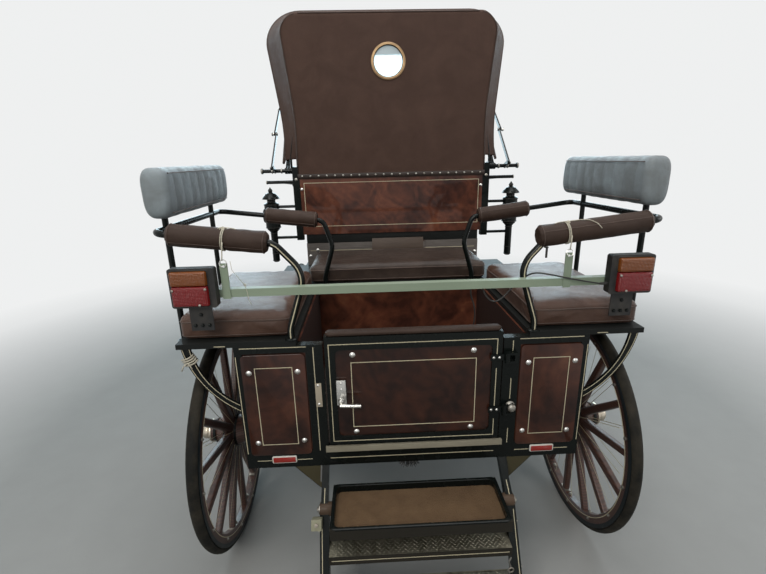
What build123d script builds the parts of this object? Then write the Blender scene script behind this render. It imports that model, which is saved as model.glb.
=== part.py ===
from build123d import *
import os
from math import atan2, cos, degrees, hypot, radians, sin, tan

# Wagonette: a four-wheeled horse carriage with a rear door, side benches and a driver's seat under a folding hood.
# Millimetres. While the pieces are made, Y = 0 is the body's rear face, +Y is forward, +X is right and Z = 0 is
# the ground. The last section moves everything so that the origin is on the ground, under the middle.

os.makedirs("parts", exist_ok=True)

# Clearances
RUNNING = 0.1
SEAT = 0.3
MOVING = 6

# Wheels and axles
REAR_WHEEL_RADIUS = 460
FRONT_WHEEL_RADIUS = 400
REAR_WHEEL_X = 746
FRONT_WHEEL_X = 670
REAR_AXLE_Y = 299
KINGPIN_Y = 1900
TYRE_WIDTH = 40
TYRE_HEIGHT = 28
RIM_THICKNESS = 6
FELLOE_DEPTH = 32
FELLOE_WIDTH = 38
SPOKE_WIDTH = 34
SPOKE_DEPTH = 26
NAVE_RADIUS = 64
NAVE_INBOARD = 72
NAVE_OUTBOARD = 84
HUB_CAP_LENGTH = 42
HUB_FLANGE = 8
SPINDLE_RADIUS = 22
HUB_BOX_WALL = 4
AXLE_SIZE = 44
REAR_AXLE_DROP = 115

# Springs
SPRING_X_REAR = 376
SPRING_X_FRONT = 400
SPRING_WIDTH = 45
LEAF = 7
LEAVES = 4
SPRING_LENGTH_REAR = 520
SPRING_LENGTH_FRONT = 620
SPRING_EYE = 13
SPRING_PAD = 8

# Tub
BODY_HALF = 604
BODY_LENGTH = 1060
BODY_BOTTOM = 493
TUBE = 32
POST = 26
SILL_TOP = 560
SILL_DEPTH = 40
DECK_TOP = 989
DECK = 18
DOOR_HALF = 302
DOOR_POST = 58
DOOR_BOTTOM = 583
DOOR_TOP = 998
DOOR_THICKNESS = 32
DOOR_PROUD = 6
# half width, low and high edge of the door's panel
DOOR_PANEL = (268, 615, 950)
DOOR_PANEL_CORNER = 18
LATCH_PLATE = ((-268, -236), (745, 840))
LEVER_Z = 762
LEVER_END = -186
LEVER_RADIUS = 5
FLOOR = 15
PANEL = 12
RISER_X = 400
BENCH_RISER_Y = 684
SEAT_EDGE = 790
SIDE_BENCH_END = 642
AISLE_HALF = 395
BENCH_LIP_Y = 640

# Cushions
CUSHION = 86
SIDE_CUSHION_Y = 28
BENCH_CUSHION_HALF = 435
BENCH_CUSHION_BACK = 1070
ROLL_RADIUS = 35
BACKREST_X = 807
BACKREST_THICKNESS = 90
BACKREST_BOTTOM = 1390
BACKREST_TOP = 1554
BACKREST_Y = (60, 690)

# Rails round the side benches
RAIL_RADIUS = 11
RAIL_POST_RADIUS = 10
HOOP_Y = 13
FRONT_HOOP_Y = 655
RAIL_X = 805
RAIL_POST_Y = (110, 545)
# x, height and bend radius from the deck up to the rail, for the rear and the front armrest hoop
REAR_HOOP = ((410, 1029, 90), (350, 1215, 90), (440, 1316, 60), (805, 1357, 36))
FRONT_HOOP = ((350, 1029, 90), (306, 1180, 90), (345, 1297, 40), (805, 1352, 36))

# Driver's platform, seat and dash
PLATFORM_BOTTOM = 835
PLATFORM_RAIL = 40
PLATFORM_RAIL_X = 400
PLATFORM_CROSS_Y = 1560
PLATFORM_HALF = 560
PLATFORM_END = 2080
PLATFORM_FLOOR = 15
SEAT_BOX_HALF = 488
SEAT_BOX_Y = (1096, 1520)
SEAT_BOX_TOP = 1111
SEAT_PAN_BOTTOM = 1163
SEAT_PAN = 18
SEAT_PAN_Y = (1112, 1530)
SEAT_BACK_Y = 1088
SEAT_BACK = 20
SEAT_BACK_TOP = 1490
DRIVER_HALF = 500
DRIVER_CUSHION = 94
FOOTBOARD_END = (2330, 1000)
DASH_TOP = (2410, 1330)
DASH_HALF = 480

# Hood: the bows turn on one pivot bar, and fold back over the benches
PIVOT_Y = 1150
PIVOT_Z = 1510
PIVOT_RADIUS = 10
BOW_RADIUS = 6
BOW_BEND = 300
EYE_RADIUS = 17
EYE_WIDTH = 13
HOOD_FOOT = 60
COVER = 4
COVER_GAP = 16
COVER_BEND = 1400
# The rear panel's outline, as half width and height: foot, waist and top corner
CURTAIN = ((512, 1476), (506, 1756), (562, 2264))
CURTAIN_CORNER = 100
WINDOW_Z = 2035
WINDOW_X = -9
WINDOW_RADIUS = 75
WINDOW_RING = 88
# name, angle above forward when up, angle when folded, reach, corner radius, height of the waist,
# half width at the pivot, at the waist and at the top
BOWS = (
    ("rear", 94, 176, 742, 90, 230, 548, 513, 545),
    ("mid", 70, 171, 900, 170, 235, 563, 566, 690),
    ("front", 43, 166, 1080, 130, 300, 578, 584, 650),
)
BRACE_X = 646
BRACE_THICKNESS = 8
BRACE_WIDTH = 20
BRACE_FOOT = (1100, 1526)
BRACE_KNUCKLE = (1318, 1712)
BRACE_REACH = 520

# Side irons and carriage lamps
IRON_Y = 1107
IRON_X = (500, 538)
LAMP_X = 668
LAMP_BODY_RADIUS = 40
LAMP_STEM_RADIUS = 19

# Light bar
BAR = 26
BAR_Z = 1155
BAR_HALF = 690
BAR_WALL = 3
STRIP_X = (-590, 490)
STRIP_WIDTH = 24
STRIP_TOP = 1265
TAIL_LAMP_X = (612, 750)
TAIL_LAMP_Z = (1134, 1259)
LENS_X = (633, 741)
LENS_Z = (1142, 1206, 1251)
LAMP_PLATE_X = (642, 714)
LAMP_PLATE_Z = 1048

# Cable of the tail lamps: out of a boot on the right-hand lamp, over the bar, a hanging loop, and down through the floor
CABLE_RADIUS = 2.5
BOOT = 22
BOOT_RADIUS = 6
GLAND_RADIUS = 9
GLAND_HEIGHT = 8
# x, y, height over the bar's underside
CABLE_LOOP = (
    (530, -41, 21), (474, -37, 33), (430, -28, 42), (396, -6, 43), (382, 20, 30), (361, 37, 8),
    (333, 36, -21), (306, 24, -45), (280, 14, -58), (257, 10, -55), (241, 9, -38), (231, 9, -19), (226, 10, 0),
    (222.6, 11, 10.6), (213.6, 12, 17), (202.4, 14, 17), (193.4, 15, 10.6), (190, 17, 0), (191, 20, -20),
    (196, 26, -46),
)
# x, y, share of the drop from the bar to the gland
CABLE_DROP = (
    (208, 33, 0.12), (215, 38, 0.19), (208, 41, 0.27), (210, 43, 0.36), (221, 45, 0.46), (221, 47, 0.57),
    (212, 50, 0.68), (215, 55, 0.79), (223, 60, 0.89), (225, 62, 0.96),
)

# Step
STEP_HALF = 309
STRINGER = 32
KNUCKLE = (-100, 392)
STRINGER_END = (-262, 110)
TRAY_Y = (-225, -20)
TRAY_Z = (380, 422)
# rear edge, front edge, top
TREADS = ((-210, -95, 296), (-290, -178, 165))
TREAD_LIP = 34

# Fore-carriage
FORE_TOP = 690
FORE_BOTTOM = 613
RING_OUTER = 280
RING_INNER = 232
RING = 15
PEDESTAL_X = (190, 230)
PEDESTAL_HALF = 400
PEDESTAL_REACH = 170
PEDESTAL_BEAM = 40
FUTCHELL_X = (110, 150)
KINGPIN_RADIUS = 15
SPLINTER_Y = 430
SPLINTER_HALF = 560
SPLINTER = 50
SOCKET_RADIUS = 32
SOCKET_BORE = 25.5
SOCKET_LENGTH = 260
SOCKET_DEPTH = 200
SOCKET_Z = 600
SINGLETREE_X = 290
SINGLETREE_AHEAD = 85
SINGLETREE_HALF = 280
SINGLETREE_RADIUS = 18


def slab(x, y, z):
    """A block between its low and high limits on each axis."""
    size = [high - low for low, high in (x, y, z)]
    middle = [(high + low) / 2 for low, high in (x, y, z)]
    return Pos(*middle) * Box(*size)


def across(half, y, z):
    """A block centred across the carriage."""
    return slab((-half, half), y, z)


def both(*shapes):
    """The shapes and their mirror images across the carriage."""
    return [*shapes, *(mirror(shape, about=Plane.YZ) for shape in shapes)]


def fused(*shapes):
    return Part() + list(shapes)


def loose(*shapes):
    """Pieces of one node that stay separate solids."""
    return Compound([solid for shape in shapes for solid in shape.solids()])


def tube(points, bends, radius):
    path = FilletPolyline(*points, radius=bends)
    return sweep(sections=(path ^ 0) * Circle(radius), path=path)


def rod(start, end, radius):
    line = Vector(*end) - Vector(*start)
    plane = Plane(origin=start, z_dir=line)
    return extrude(plane * Circle(radius), line.length)


def slack(points, radius):
    """A loose cord: each bend is as large as the shorter run beside it allows."""
    points = [Vector(*point) for point in points]
    bends = []
    for before, corner, after in zip(points, points[1:], points[2:]):
        turn = (corner - before).get_angle(after - corner)
        shorter = min((corner - before).length, (after - corner).length)
        bends.append(0.45 * shorter / tan(radians(turn / 2)))
    print(f"cord bends from {min(bends):.0f} mm")
    return tube(points, bends, radius)


def turned(points, axis):
    """A solid of revolution from (x, radius) or (radius, z) points on the XZ plane."""
    return revolve(make_face(Plane.XZ * Polyline(*points, close=True)), axis)


def side_profile(points, x):
    """A plate between two X limits, from its outline as (y, z) points."""
    face = make_face(Plane.YZ * Polyline(*points, close=True))
    return Pos(x[0], 0, 0) * extrude(face, x[1] - x[0], dir=(1, 0, 0))


def link(start, end, width, x):
    """A flat bar with round ends between two (y, z) points."""
    length = hypot(end[0] - start[0], end[1] - start[1])
    angle = degrees(atan2(end[1] - start[1], end[0] - start[0]))
    outline = Pos(length / 2, 0) * SlotCenterToCenter(length, width)
    plane = Plane(origin=(x[0], *start), x_dir=(0, cos(radians(angle)), sin(radians(angle))), z_dir=(1, 0, 0))
    return extrude(plane * outline, x[1] - x[0])


STAND = (Align.CENTER, Align.CENTER, Align.MIN)
nodes = {}


# Wheels, made on the X axis with the outer side towards +X
# name, side, axle Y, half track, radius, spokes
WHEELS = (
    ("rear_left", -1, REAR_AXLE_Y, REAR_WHEEL_X, REAR_WHEEL_RADIUS, 14),
    ("rear_right", 1, REAR_AXLE_Y, REAR_WHEEL_X, REAR_WHEEL_RADIUS, 14),
    ("front_left", -1, KINGPIN_Y, FRONT_WHEEL_X, FRONT_WHEEL_RADIUS, 12),
    ("front_right", 1, KINGPIN_Y, FRONT_WHEEL_X, FRONT_WHEEL_RADIUS, 12),
)
HUB_RADIUS = SPINDLE_RADIUS + RUNNING + HUB_BOX_WALL
CAP_RADIUS = 33
CAP_END = NAVE_OUTBOARD + HUB_CAP_LENGTH


def tyre(radius):
    half, base = TYRE_WIDTH / 2, radius - TYRE_HEIGHT
    sides = Polyline((half, radius - 14), (half - 2.3, radius - 17), (half - 2.3, base), (2.3 - half, base),
                     (2.3 - half, radius - 17), (-half, radius - 14))
    crown = ThreePointArc((-half, radius - 14), (0, radius), (half, radius - 14))
    return revolve(make_face(Plane.XZ * (sides + crown)), Axis.X)


def rim(radius):
    half, base = TYRE_WIDTH / 2, radius - TYRE_HEIGHT
    points = ((-half - 1, base - RIM_THICKNESS), (half + 1, base - RIM_THICKNESS), (half + 1, base + 9),
              (half - 2, base + 9), (half - 2, base), (2 - half, base), (2 - half, base + 9), (-half - 1, base + 9))
    return turned(points, Axis.X)


def spoked_wheel(radius, spokes):
    outer = radius - TYRE_HEIGHT - RIM_THICKNESS
    inner, half = outer - FELLOE_DEPTH, FELLOE_WIDTH / 2
    felloe = turned(((-half, outer), (-half, inner + 8), (7 - half, inner), (half - 7, inner), (half, inner + 8),
                     (half, outer)), Axis.X)
    nave = turned(((-NAVE_INBOARD, HUB_RADIUS + SEAT), (-NAVE_INBOARD, 48), (-NAVE_INBOARD + 16, 50),
                   (-26, NAVE_RADIUS), (26, NAVE_RADIUS), (NAVE_OUTBOARD - 22, 46), (NAVE_OUTBOARD, 44),
                   (NAVE_OUTBOARD, HUB_RADIUS + SEAT)), Axis.X)
    root, tip = NAVE_RADIUS - 8, inner + 4
    sections = [Plane.XY.offset(root) * RectangleRounded(SPOKE_DEPTH + 6, SPOKE_WIDTH, 8),
                Plane.XY.offset(tip) * RectangleRounded(SPOKE_DEPTH - 2, SPOKE_WIDTH - 6, 8)]
    spoke = loft(sections, ruled=True)
    ring = [Rot(360 * n / spokes, 0, 0) * spoke for n in range(spokes)]
    return fused(felloe, nave, *ring)


def hub():
    bore, outer = SPINDLE_RADIUS + RUNNING, HUB_RADIUS
    points = ((-NAVE_INBOARD - HUB_FLANGE, bore), (-NAVE_INBOARD - HUB_FLANGE, 50), (-NAVE_INBOARD, 50),
              (-NAVE_INBOARD, outer), (NAVE_OUTBOARD, outer), (NAVE_OUTBOARD, 46), (NAVE_OUTBOARD + 6, 46),
              (NAVE_OUTBOARD + 14, CAP_RADIUS), (CAP_END - 8, CAP_RADIUS), (CAP_END, CAP_RADIUS - 8), (CAP_END, 0),
              (CAP_END - 10, 0), (CAP_END - 10, bore))
    return turned(points, Axis.X)


for name, side, axle_y, half_track, radius, spokes in WHEELS:
    pieces = (("tyre", tyre(radius)), ("wheel", spoked_wheel(radius, spokes)), ("irons", loose(rim(radius), hub())))
    for piece, solid in pieces:
        solid = solid if side > 0 else mirror(solid, about=Plane.YZ)
        nodes[f"{name}_{piece}"] = Pos(side * half_track, axle_y, radius) * solid


def spindle(half_track, radius, axle_y, inner):
    return rod((inner, axle_y, radius), (half_track + CAP_END - 12, axle_y, radius), SPINDLE_RADIUS)


def leaf_spring(length, height):
    """A full elliptic spring standing on Z = 0, along Y, with its pads and eyes."""
    sag = height / 2 - SPRING_PAD - LEAF * LEAVES
    pieces = []
    for number in range(LEAVES):
        half = length / 2 * (1 - 0.2 * number)
        drop = sag * (half * 2 / length) ** 2
        low = SPRING_PAD + LEAF * (LEAVES - 1 - number)
        under = ThreePointArc((-half, low + drop), (0, low), (half, low + drop))
        upper = ThreePointArc((half, low + drop + LEAF), (0, low + LEAF), (-half, low + drop + LEAF))
        ends = [Line((half, low + drop), (half, low + drop + LEAF)), Line((-half, low + drop + LEAF), (-half, low + drop))]
        pieces.append(extrude(make_face(Plane.YZ * Curve([under, upper, *ends])), SPRING_WIDTH / 2, both=True))
    pad = slab((-SPRING_WIDTH / 2 - 6, SPRING_WIDTH / 2 + 6), (-45, 45), (0, SPRING_PAD + 2))
    lower = fused(*pieces, pad)
    upper = Pos(0, 0, height) * mirror(lower, about=Plane.XY)
    eyes = [rod((-SPRING_WIDTH / 2, end, height / 2), (SPRING_WIDTH / 2, end, height / 2), SPRING_EYE)
            for end in (-length / 2, length / 2)]
    return fused(lower, upper, *eyes)


# Rear axle, dropped between the wheels, and its springs
beam_z = REAR_WHEEL_RADIUS - REAR_AXLE_DROP
half = AXLE_SIZE / 2
crank_outer = REAR_WHEEL_X - NAVE_INBOARD - HUB_FLANGE - MOVING
axle_y = (REAR_AXLE_Y - half, REAR_AXLE_Y + half)
crank = slab((crank_outer - AXLE_SIZE, crank_outer), axle_y, (beam_z - half, REAR_WHEEL_RADIUS + half))
nodes["rear_axle"] = fused(
    across(crank_outer, axle_y, (beam_z - half, beam_z + half)),
    *both(crank, spindle(REAR_WHEEL_X, REAR_WHEEL_RADIUS, REAR_AXLE_Y, crank_outer - half)))
rear_spring = leaf_spring(SPRING_LENGTH_REAR, BODY_BOTTOM - beam_z - half)
nodes["rear_springs"] = loose(*both(Pos(SPRING_X_REAR, REAR_AXLE_Y, beam_z + half) * rear_spring))

# Steel frame of the tub and of the driver's platform
door_post_outer = DOOR_HALF + MOVING + DOOR_POST
deck_bottom = DECK_TOP - DECK
rear_y = (0, TUBE)
front_y = (BODY_LENGTH - TUBE, BODY_LENGTH)
platform_top = PLATFORM_BOTTOM + PLATFORM_RAIL
frame = [
    across(BODY_HALF, (0, SILL_DEPTH), (BODY_BOTTOM, SILL_TOP)),
    across(BODY_HALF, front_y, (BODY_BOTTOM, BODY_BOTTOM + TUBE)),
    across(BODY_HALF, front_y, (deck_bottom - POST, deck_bottom)),
    across(BODY_HALF, front_y, (PLATFORM_BOTTOM, platform_top)),
    across(BODY_HALF, (REAR_AXLE_Y - 30, REAR_AXLE_Y + 30), (BODY_BOTTOM, BODY_BOTTOM + TUBE)),
    across(PLATFORM_HALF, (PLATFORM_END - PLATFORM_RAIL, PLATFORM_END), (PLATFORM_BOTTOM, platform_top)),
    across(PLATFORM_HALF, (PLATFORM_CROSS_Y, PLATFORM_CROSS_Y + PLATFORM_RAIL), (PLATFORM_BOTTOM, platform_top)),
]
frame += both(
    slab((BODY_HALF - TUBE, BODY_HALF), (0, BODY_LENGTH), (BODY_BOTTOM, BODY_BOTTOM + TUBE)),
    slab((BODY_HALF - POST, BODY_HALF), (0, BODY_LENGTH), (deck_bottom - POST, deck_bottom)),
    slab((BODY_HALF - POST, BODY_HALF), rear_y, (BODY_BOTTOM, deck_bottom)),
    slab((BODY_HALF - POST, BODY_HALF), front_y, (BODY_BOTTOM, deck_bottom)),
    slab((DOOR_HALF + MOVING, door_post_outer), rear_y, (BODY_BOTTOM, deck_bottom)),
    slab((DOOR_HALF + MOVING, BODY_HALF), rear_y, (deck_bottom - POST, deck_bottom)),
    slab((PLATFORM_RAIL_X, PLATFORM_RAIL_X + PLATFORM_RAIL), (BODY_LENGTH - TUBE, PLATFORM_END),
         (PLATFORM_BOTTOM, platform_top)))

# Floor, panels and risers of the tub
floor_z = BODY_BOTTOM + TUBE
inner_half = BODY_HALF - TUBE
nodes["floor"] = across(inner_half, (SILL_DEPTH, BODY_LENGTH - TUBE), (floor_z, floor_z + FLOOR))
panels = both(
    slab((door_post_outer, BODY_HALF - POST), (6, 6 + PANEL), (SILL_TOP, deck_bottom - POST)),
    slab((BODY_HALF - 4 - PANEL, BODY_HALF - 4), (SILL_DEPTH, BODY_LENGTH - TUBE), (floor_z, deck_bottom - POST)))
front_wall_y = (BODY_LENGTH - 10 - PANEL, BODY_LENGTH - 10)
front_wall = [across(BODY_HALF - POST, front_wall_y, (floor_z, PLATFORM_BOTTOM)),
              across(BODY_HALF - POST, front_wall_y, (platform_top, deck_bottom - POST))]
bench_room = (floor_z + FLOOR, deck_bottom)
side_risers = both(slab((RISER_X - PANEL, RISER_X), (SILL_DEPTH, BENCH_RISER_Y), bench_room))
bench_front = across(BODY_HALF - 4 - PANEL, (BENCH_RISER_Y, BENCH_RISER_Y + PANEL), (bench_room[0], deck_bottom - POST))
nodes["body_panels"] = loose(*panels, *front_wall, *side_risers, bench_front)

# Seat deck: side boards that overhang the wheels, joined by the transverse board
deck_z = (deck_bottom, DECK_TOP)
nodes["seat_deck"] = fused(
    across(BODY_HALF, (BENCH_LIP_Y, SEAT_BOX_Y[0] - 11), deck_z),
    *both(slab((AISLE_HALF, SEAT_EDGE), (0, SIDE_BENCH_END + 8), deck_z)))

# Curved stays between the corner posts and the edges of the side boards
stay_outer = ThreePointArc((SEAT_EDGE - 10, deck_bottom), (715, 818), (BODY_HALF, 722))
stay_inner = ThreePointArc((BODY_HALF, 752), (700, 838), (SEAT_EDGE - 42, deck_bottom))
stay_face = make_face(Plane.XZ * Curve([stay_outer, Line((BODY_HALF, 722), (BODY_HALF, 752)), stay_inner,
                                        Line((SEAT_EDGE - 42, deck_bottom), (SEAT_EDGE - 10, deck_bottom))]))
frame += both(Pos(0, 14, 0) * extrude(stay_face, 4, both=True))


def cushion(x, y, z, corner=28, edge=16):
    """A plain pad with rounded upright corners and a rounded top edge."""
    pad = slab(x, y, z)
    pad = fillet(pad.edges().filter_by(Axis.Z), corner)
    return fillet(pad.edges().group_by(Axis.Z)[-1], edge)


cushion_z = (DECK_TOP + SEAT, DECK_TOP + CUSHION)
side_cushion = cushion((AISLE_HALF + 12, SEAT_EDGE), (SIDE_CUSHION_Y, SIDE_BENCH_END), cushion_z)
bench_cushion_y = (FRONT_HOOP_Y + RAIL_RADIUS + 16, BENCH_CUSHION_BACK)
bench_cushion = cushion((-BENCH_CUSHION_HALF, BENCH_CUSHION_HALF), bench_cushion_y, cushion_z)
nodes["bench_cushions"] = loose(*both(side_cushion), bench_cushion)

# Armrest hoops and the rail of each side bench, bent from one tube, with the posts of the backrest
hoop_points = [(REAR_HOOP[0][0], HOOP_Y, DECK_TOP), *((x, HOOP_Y, z) for x, z, bend in REAR_HOOP),
               *((x, FRONT_HOOP_Y, z) for x, z, bend in reversed(FRONT_HOOP)), (FRONT_HOOP[0][0], FRONT_HOOP_Y, DECK_TOP)]
hoop_bends = [bend for x, z, bend in (*REAR_HOOP, *reversed(FRONT_HOOP))]
hoop = tube(hoop_points, hoop_bends, RAIL_RADIUS)
posts = [rod((RAIL_X, y, deck_bottom - 6), (RAIL_X, y, BACKREST_TOP - 50), RAIL_POST_RADIUS) for y in RAIL_POST_Y]
tabs = [slab((700, RAIL_X + 12), (y - 15, y + 15), (deck_bottom - 6, deck_bottom)) for y in RAIL_POST_Y]
side_rail = fused(hoop, *posts, *tabs)
nodes["seat_rails"] = loose(*both(side_rail))


def roll(start, end):
    pad = rod(start, end, ROLL_RADIUS)
    return pad - side_rail


def on_rail(start, end, share):
    return tuple(a + (b - a) * share for a, b in zip(start, end))


rear_roll_line = [(x, HOOP_Y, z) for x, z, bend in REAR_HOOP[2:]]
front_roll_line = [(x, FRONT_HOOP_Y, z) for x, z, bend in FRONT_HOOP[2:]]
nodes["armrest_rolls"] = loose(*both(
    roll(on_rail(*rear_roll_line, 0.06), on_rail(*rear_roll_line, 0.88)),
    roll(on_rail(*front_roll_line, 0.05), on_rail(*front_roll_line, 0.57))))
backrest = slab((BACKREST_X - BACKREST_THICKNESS / 2, BACKREST_X + BACKREST_THICKNESS / 2), BACKREST_Y,
                (BACKREST_BOTTOM, BACKREST_TOP))
backrest = fillet(backrest.edges().filter_by(Axis.Y), 36)
nodes["backrests"] = loose(*both(backrest - side_rail))

# Light bar tied under the rear rolls, with a lamp at each end
bar_y = (HOOP_Y - RAIL_RADIUS - SEAT - BAR, HOOP_Y - RAIL_RADIUS - SEAT)
bar_z = (BAR_Z, BAR_Z + BAR)
bar = across(BAR_HALF, bar_y, bar_z) - across(
    BAR_HALF, (bar_y[0] + BAR_WALL, bar_y[1] - BAR_WALL), (bar_z[0] + BAR_WALL, bar_z[1] - BAR_WALL))
strips = []
for x in STRIP_X:
    strip = slab((x - STRIP_WIDTH / 2, x + STRIP_WIDTH / 2), (bar_y[0] - 4, bar_y[0]), (BAR_Z - 4, STRIP_TOP))
    strips.append(strip - rod((x, bar_y[0] - 10, STRIP_TOP - 10), (x, bar_y[0] + 10, STRIP_TOP - 10), 4))
nodes["light_bar"] = fused(bar, *strips)
plate_y = (bar_y[0] - 4, bar_y[0])
lamp_plate = slab(LAMP_PLATE_X, plate_y, (LAMP_PLATE_Z, TAIL_LAMP_Z[1] - 8))
housing = fillet(slab(TAIL_LAMP_X, (plate_y[0] - 30, plate_y[0]), TAIL_LAMP_Z).edges().filter_by(Axis.Y), 8)
lamp = fused(lamp_plate, housing)
cable_start = (TAIL_LAMP_X[0] - BOOT, plate_y[0] - 15, BAR_Z + 10)
boot = Plane(origin=cable_start, z_dir=(1, 0, 0)) * Cone(CABLE_RADIUS + 1, BOOT_RADIUS, BOOT + 1, align=STAND)
nodes["tail_lamp_housings"] = loose(fused(lamp, boot), mirror(lamp, about=Plane.YZ))
gland_x, gland_y, _ = CABLE_DROP[-1]
gland_top = floor_z + FLOOR + GLAND_HEIGHT
nodes["cable_gland"] = rod((gland_x, gland_y, floor_z + FLOOR), (gland_x, gland_y, gland_top), GLAND_RADIUS)
cable_route = [cable_start, *((x, y, BAR_Z + over) for x, y, over in CABLE_LOOP),
               *((x, y, BAR_Z + (gland_top - BAR_Z) * share) for x, y, share in CABLE_DROP),
               (gland_x, gland_y, gland_top)]
nodes["light_cable"] = slack(cable_route, CABLE_RADIUS)
lens_y = (plate_y[0] - 46, plate_y[0] - 30)
reflector = slab((426, 514), (-6, 0), (513, 541))
nodes["rear_lenses"] = loose(*both(
    slab(LENS_X, lens_y, (LENS_Z[0], LENS_Z[1] - SEAT)), slab(LENS_X, lens_y, (LENS_Z[1], LENS_Z[2])), reflector))
ties = []
roll_low, roll_high = (Vector(*point) for point in rear_roll_line)
for x in STRIP_X:
    height = roll_low.Z + (roll_high.Z - roll_low.Z) * (abs(x) - roll_low.X) / (roll_high.X - roll_low.X)
    along = roll_high - roll_low
    plane = Plane(origin=(x, HOOP_Y, height), z_dir=along if x > 0 else (-along.X, 0, along.Z))
    ring = extrude(plane * (Circle(ROLL_RADIUS + 3) - Circle(ROLL_RADIUS + SEAT)), 3, both=True)
    knot = rod((x, HOOP_Y - 8, height - ROLL_RADIUS - 1), (x, bar_y[0] + 3, STRIP_TOP - 6), 2)
    ties.append(fused(ring, knot))
nodes["bar_ties"] = loose(*ties)

# Rear door, its latch and its hinges on the right-hand post
HINGE_X, HINGE_Y = DOOR_HALF + 16, -DOOR_PROUD - 10
HINGE_ZS = (690, 892)
HINGE_RADIUS, HINGE_PIN, KNUCKLE_HEIGHT = 9, 4.5, 22
door_y = (-DOOR_PROUD, DOOR_THICKNESS - DOOR_PROUD)
door_opening = across(DOOR_PANEL[0], (-50, 60), DOOR_PANEL[1:])
door_opening = fillet(door_opening.edges().filter_by(Axis.Y), DOOR_PANEL_CORNER)
door_frame = across(DOOR_HALF, door_y, (DOOR_BOTTOM, DOOR_TOP)) - door_opening
panel_slice = across(DOOR_HALF, (0, PANEL), (DOOR_BOTTOM, DOOR_TOP))
nodes["door_panel"] = door_opening & panel_slice
door_pad = across(DOOR_HALF - 4, (door_y[0] - 2, door_y[1] + 4), (DOOR_TOP + SEAT, DOOR_TOP + 16))
nodes["door_top_pad"] = fillet(door_pad.edges().group_by(Axis.Z)[-1], 7)
latch_plate = slab(LATCH_PLATE[0], (door_y[0] - 4, door_y[0]), LATCH_PLATE[1])
lever_x = sum(LATCH_PLATE[0]) / 2 - 2
lever = tube([(lever_x, door_y[0], LEVER_Z), (lever_x, door_y[0] - 34, LEVER_Z), (LEVER_END, door_y[0] - 34, LEVER_Z - 3)],
             8, LEVER_RADIUS)
nodes["door_latch"] = fused(latch_plate, lever)
straps, brackets = [], []
for z in HINGE_ZS:
    knuckle = rod((HINGE_X, HINGE_Y, z), (HINGE_X, HINGE_Y, z + KNUCKLE_HEIGHT), HINGE_RADIUS)
    hole = rod((HINGE_X, HINGE_Y, z - 1), (HINGE_X, HINGE_Y, z + KNUCKLE_HEIGHT + 1), HINGE_PIN + RUNNING)
    arm = slab((DOOR_HALF - 40, HINGE_X), (door_y[0] - 5, door_y[0]), (z, z + KNUCKLE_HEIGHT))
    straps.append(fused(knuckle, arm) - hole)
    lugs = [rod((HINGE_X, HINGE_Y, low), (HINGE_X, HINGE_Y, low + 8), HINGE_RADIUS)
            for low in (z - 8 - SEAT, z + KNUCKLE_HEIGHT + SEAT)]
    arms = [slab((HINGE_X, HINGE_X + 34), (HINGE_Y - 5, HINGE_Y + 5), (low, low + 8))
            for low in (z - 8 - SEAT, z + KNUCKLE_HEIGHT + SEAT)]
    leaf = slab((HINGE_X + 24, HINGE_X + 34), (HINGE_Y - 5, 0), (z - 8 - SEAT, z + KNUCKLE_HEIGHT + 8 + SEAT))
    pin = rod((HINGE_X, HINGE_Y, z - 8 - SEAT), (HINGE_X, HINGE_Y, z + KNUCKLE_HEIGHT + 8 + SEAT), HINGE_PIN)
    brackets.append(fused(*lugs, *arms, leaf, pin))
nodes["door_frame"] = fused(door_frame, *straps)
frame += brackets
nodes["sill_strip"] = across(DOOR_HALF + 16, (-12, 0), (SILL_TOP - 4, SILL_TOP + 16)) - across(
    BODY_HALF, (-8, 0), (SILL_TOP, SILL_TOP + 12))

# Step: a tray and two treads between sloping stringers, hung from the rear beam
hanger = side_profile(((0, BODY_BOTTOM), (38, BODY_BOTTOM), (KNUCKLE[0] + 20, KNUCKLE[1] - 4),
                       (KNUCKLE[0] - 14, KNUCKLE[1] + 14)), (STEP_HALF + 4, STEP_HALF + 28))
gusset = side_profile(((0, BODY_BOTTOM), (38, BODY_BOTTOM), (-20, 440), (-34, 450)), (STEP_HALF + 28, STEP_HALF + 34))
gusset = fused(gusset, Pos(0, 4, 0) * extrude(make_face(Plane.XZ * Polyline(
    (STEP_HALF + 28, BODY_BOTTOM), (STEP_HALF + 128, BODY_BOTTOM), (STEP_HALF + 46, 402), (STEP_HALF + 28, 385),
    close=True)), 3, both=True))
knuckle = rod((STEP_HALF - 11, *KNUCKLE), (STEP_HALF + STRINGER, *KNUCKLE), 22)
stringer = link(KNUCKLE, STRINGER_END, 36, (STEP_HALF, STEP_HALF + STRINGER))
nodes["step_frame"] = loose(*both(fused(hanger, gusset, knuckle, stringer)))
tray = across(STEP_HALF - 11, TRAY_Y, TRAY_Z) - across(
    STEP_HALF - 19, (TRAY_Y[0] + 8, TRAY_Y[1] - 8), (TRAY_Z[0] + 8, TRAY_Z[1] + 8))
nodes["step_mat"] = across(STEP_HALF - 21, (TRAY_Y[0] + 10, TRAY_Y[1] - 10), (TRAY_Z[0] + 8, TRAY_Z[0] + 18))
treads = []
for rear, front, top in TREADS:
    treads.append(across(STEP_HALF, (rear, front), (top - TREAD_LIP, top)) - across(
        STEP_HALF - 4, (rear + 4, front), (top - TREAD_LIP, top - 4)))
nodes["step_treads"] = loose(tray, *treads)

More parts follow.
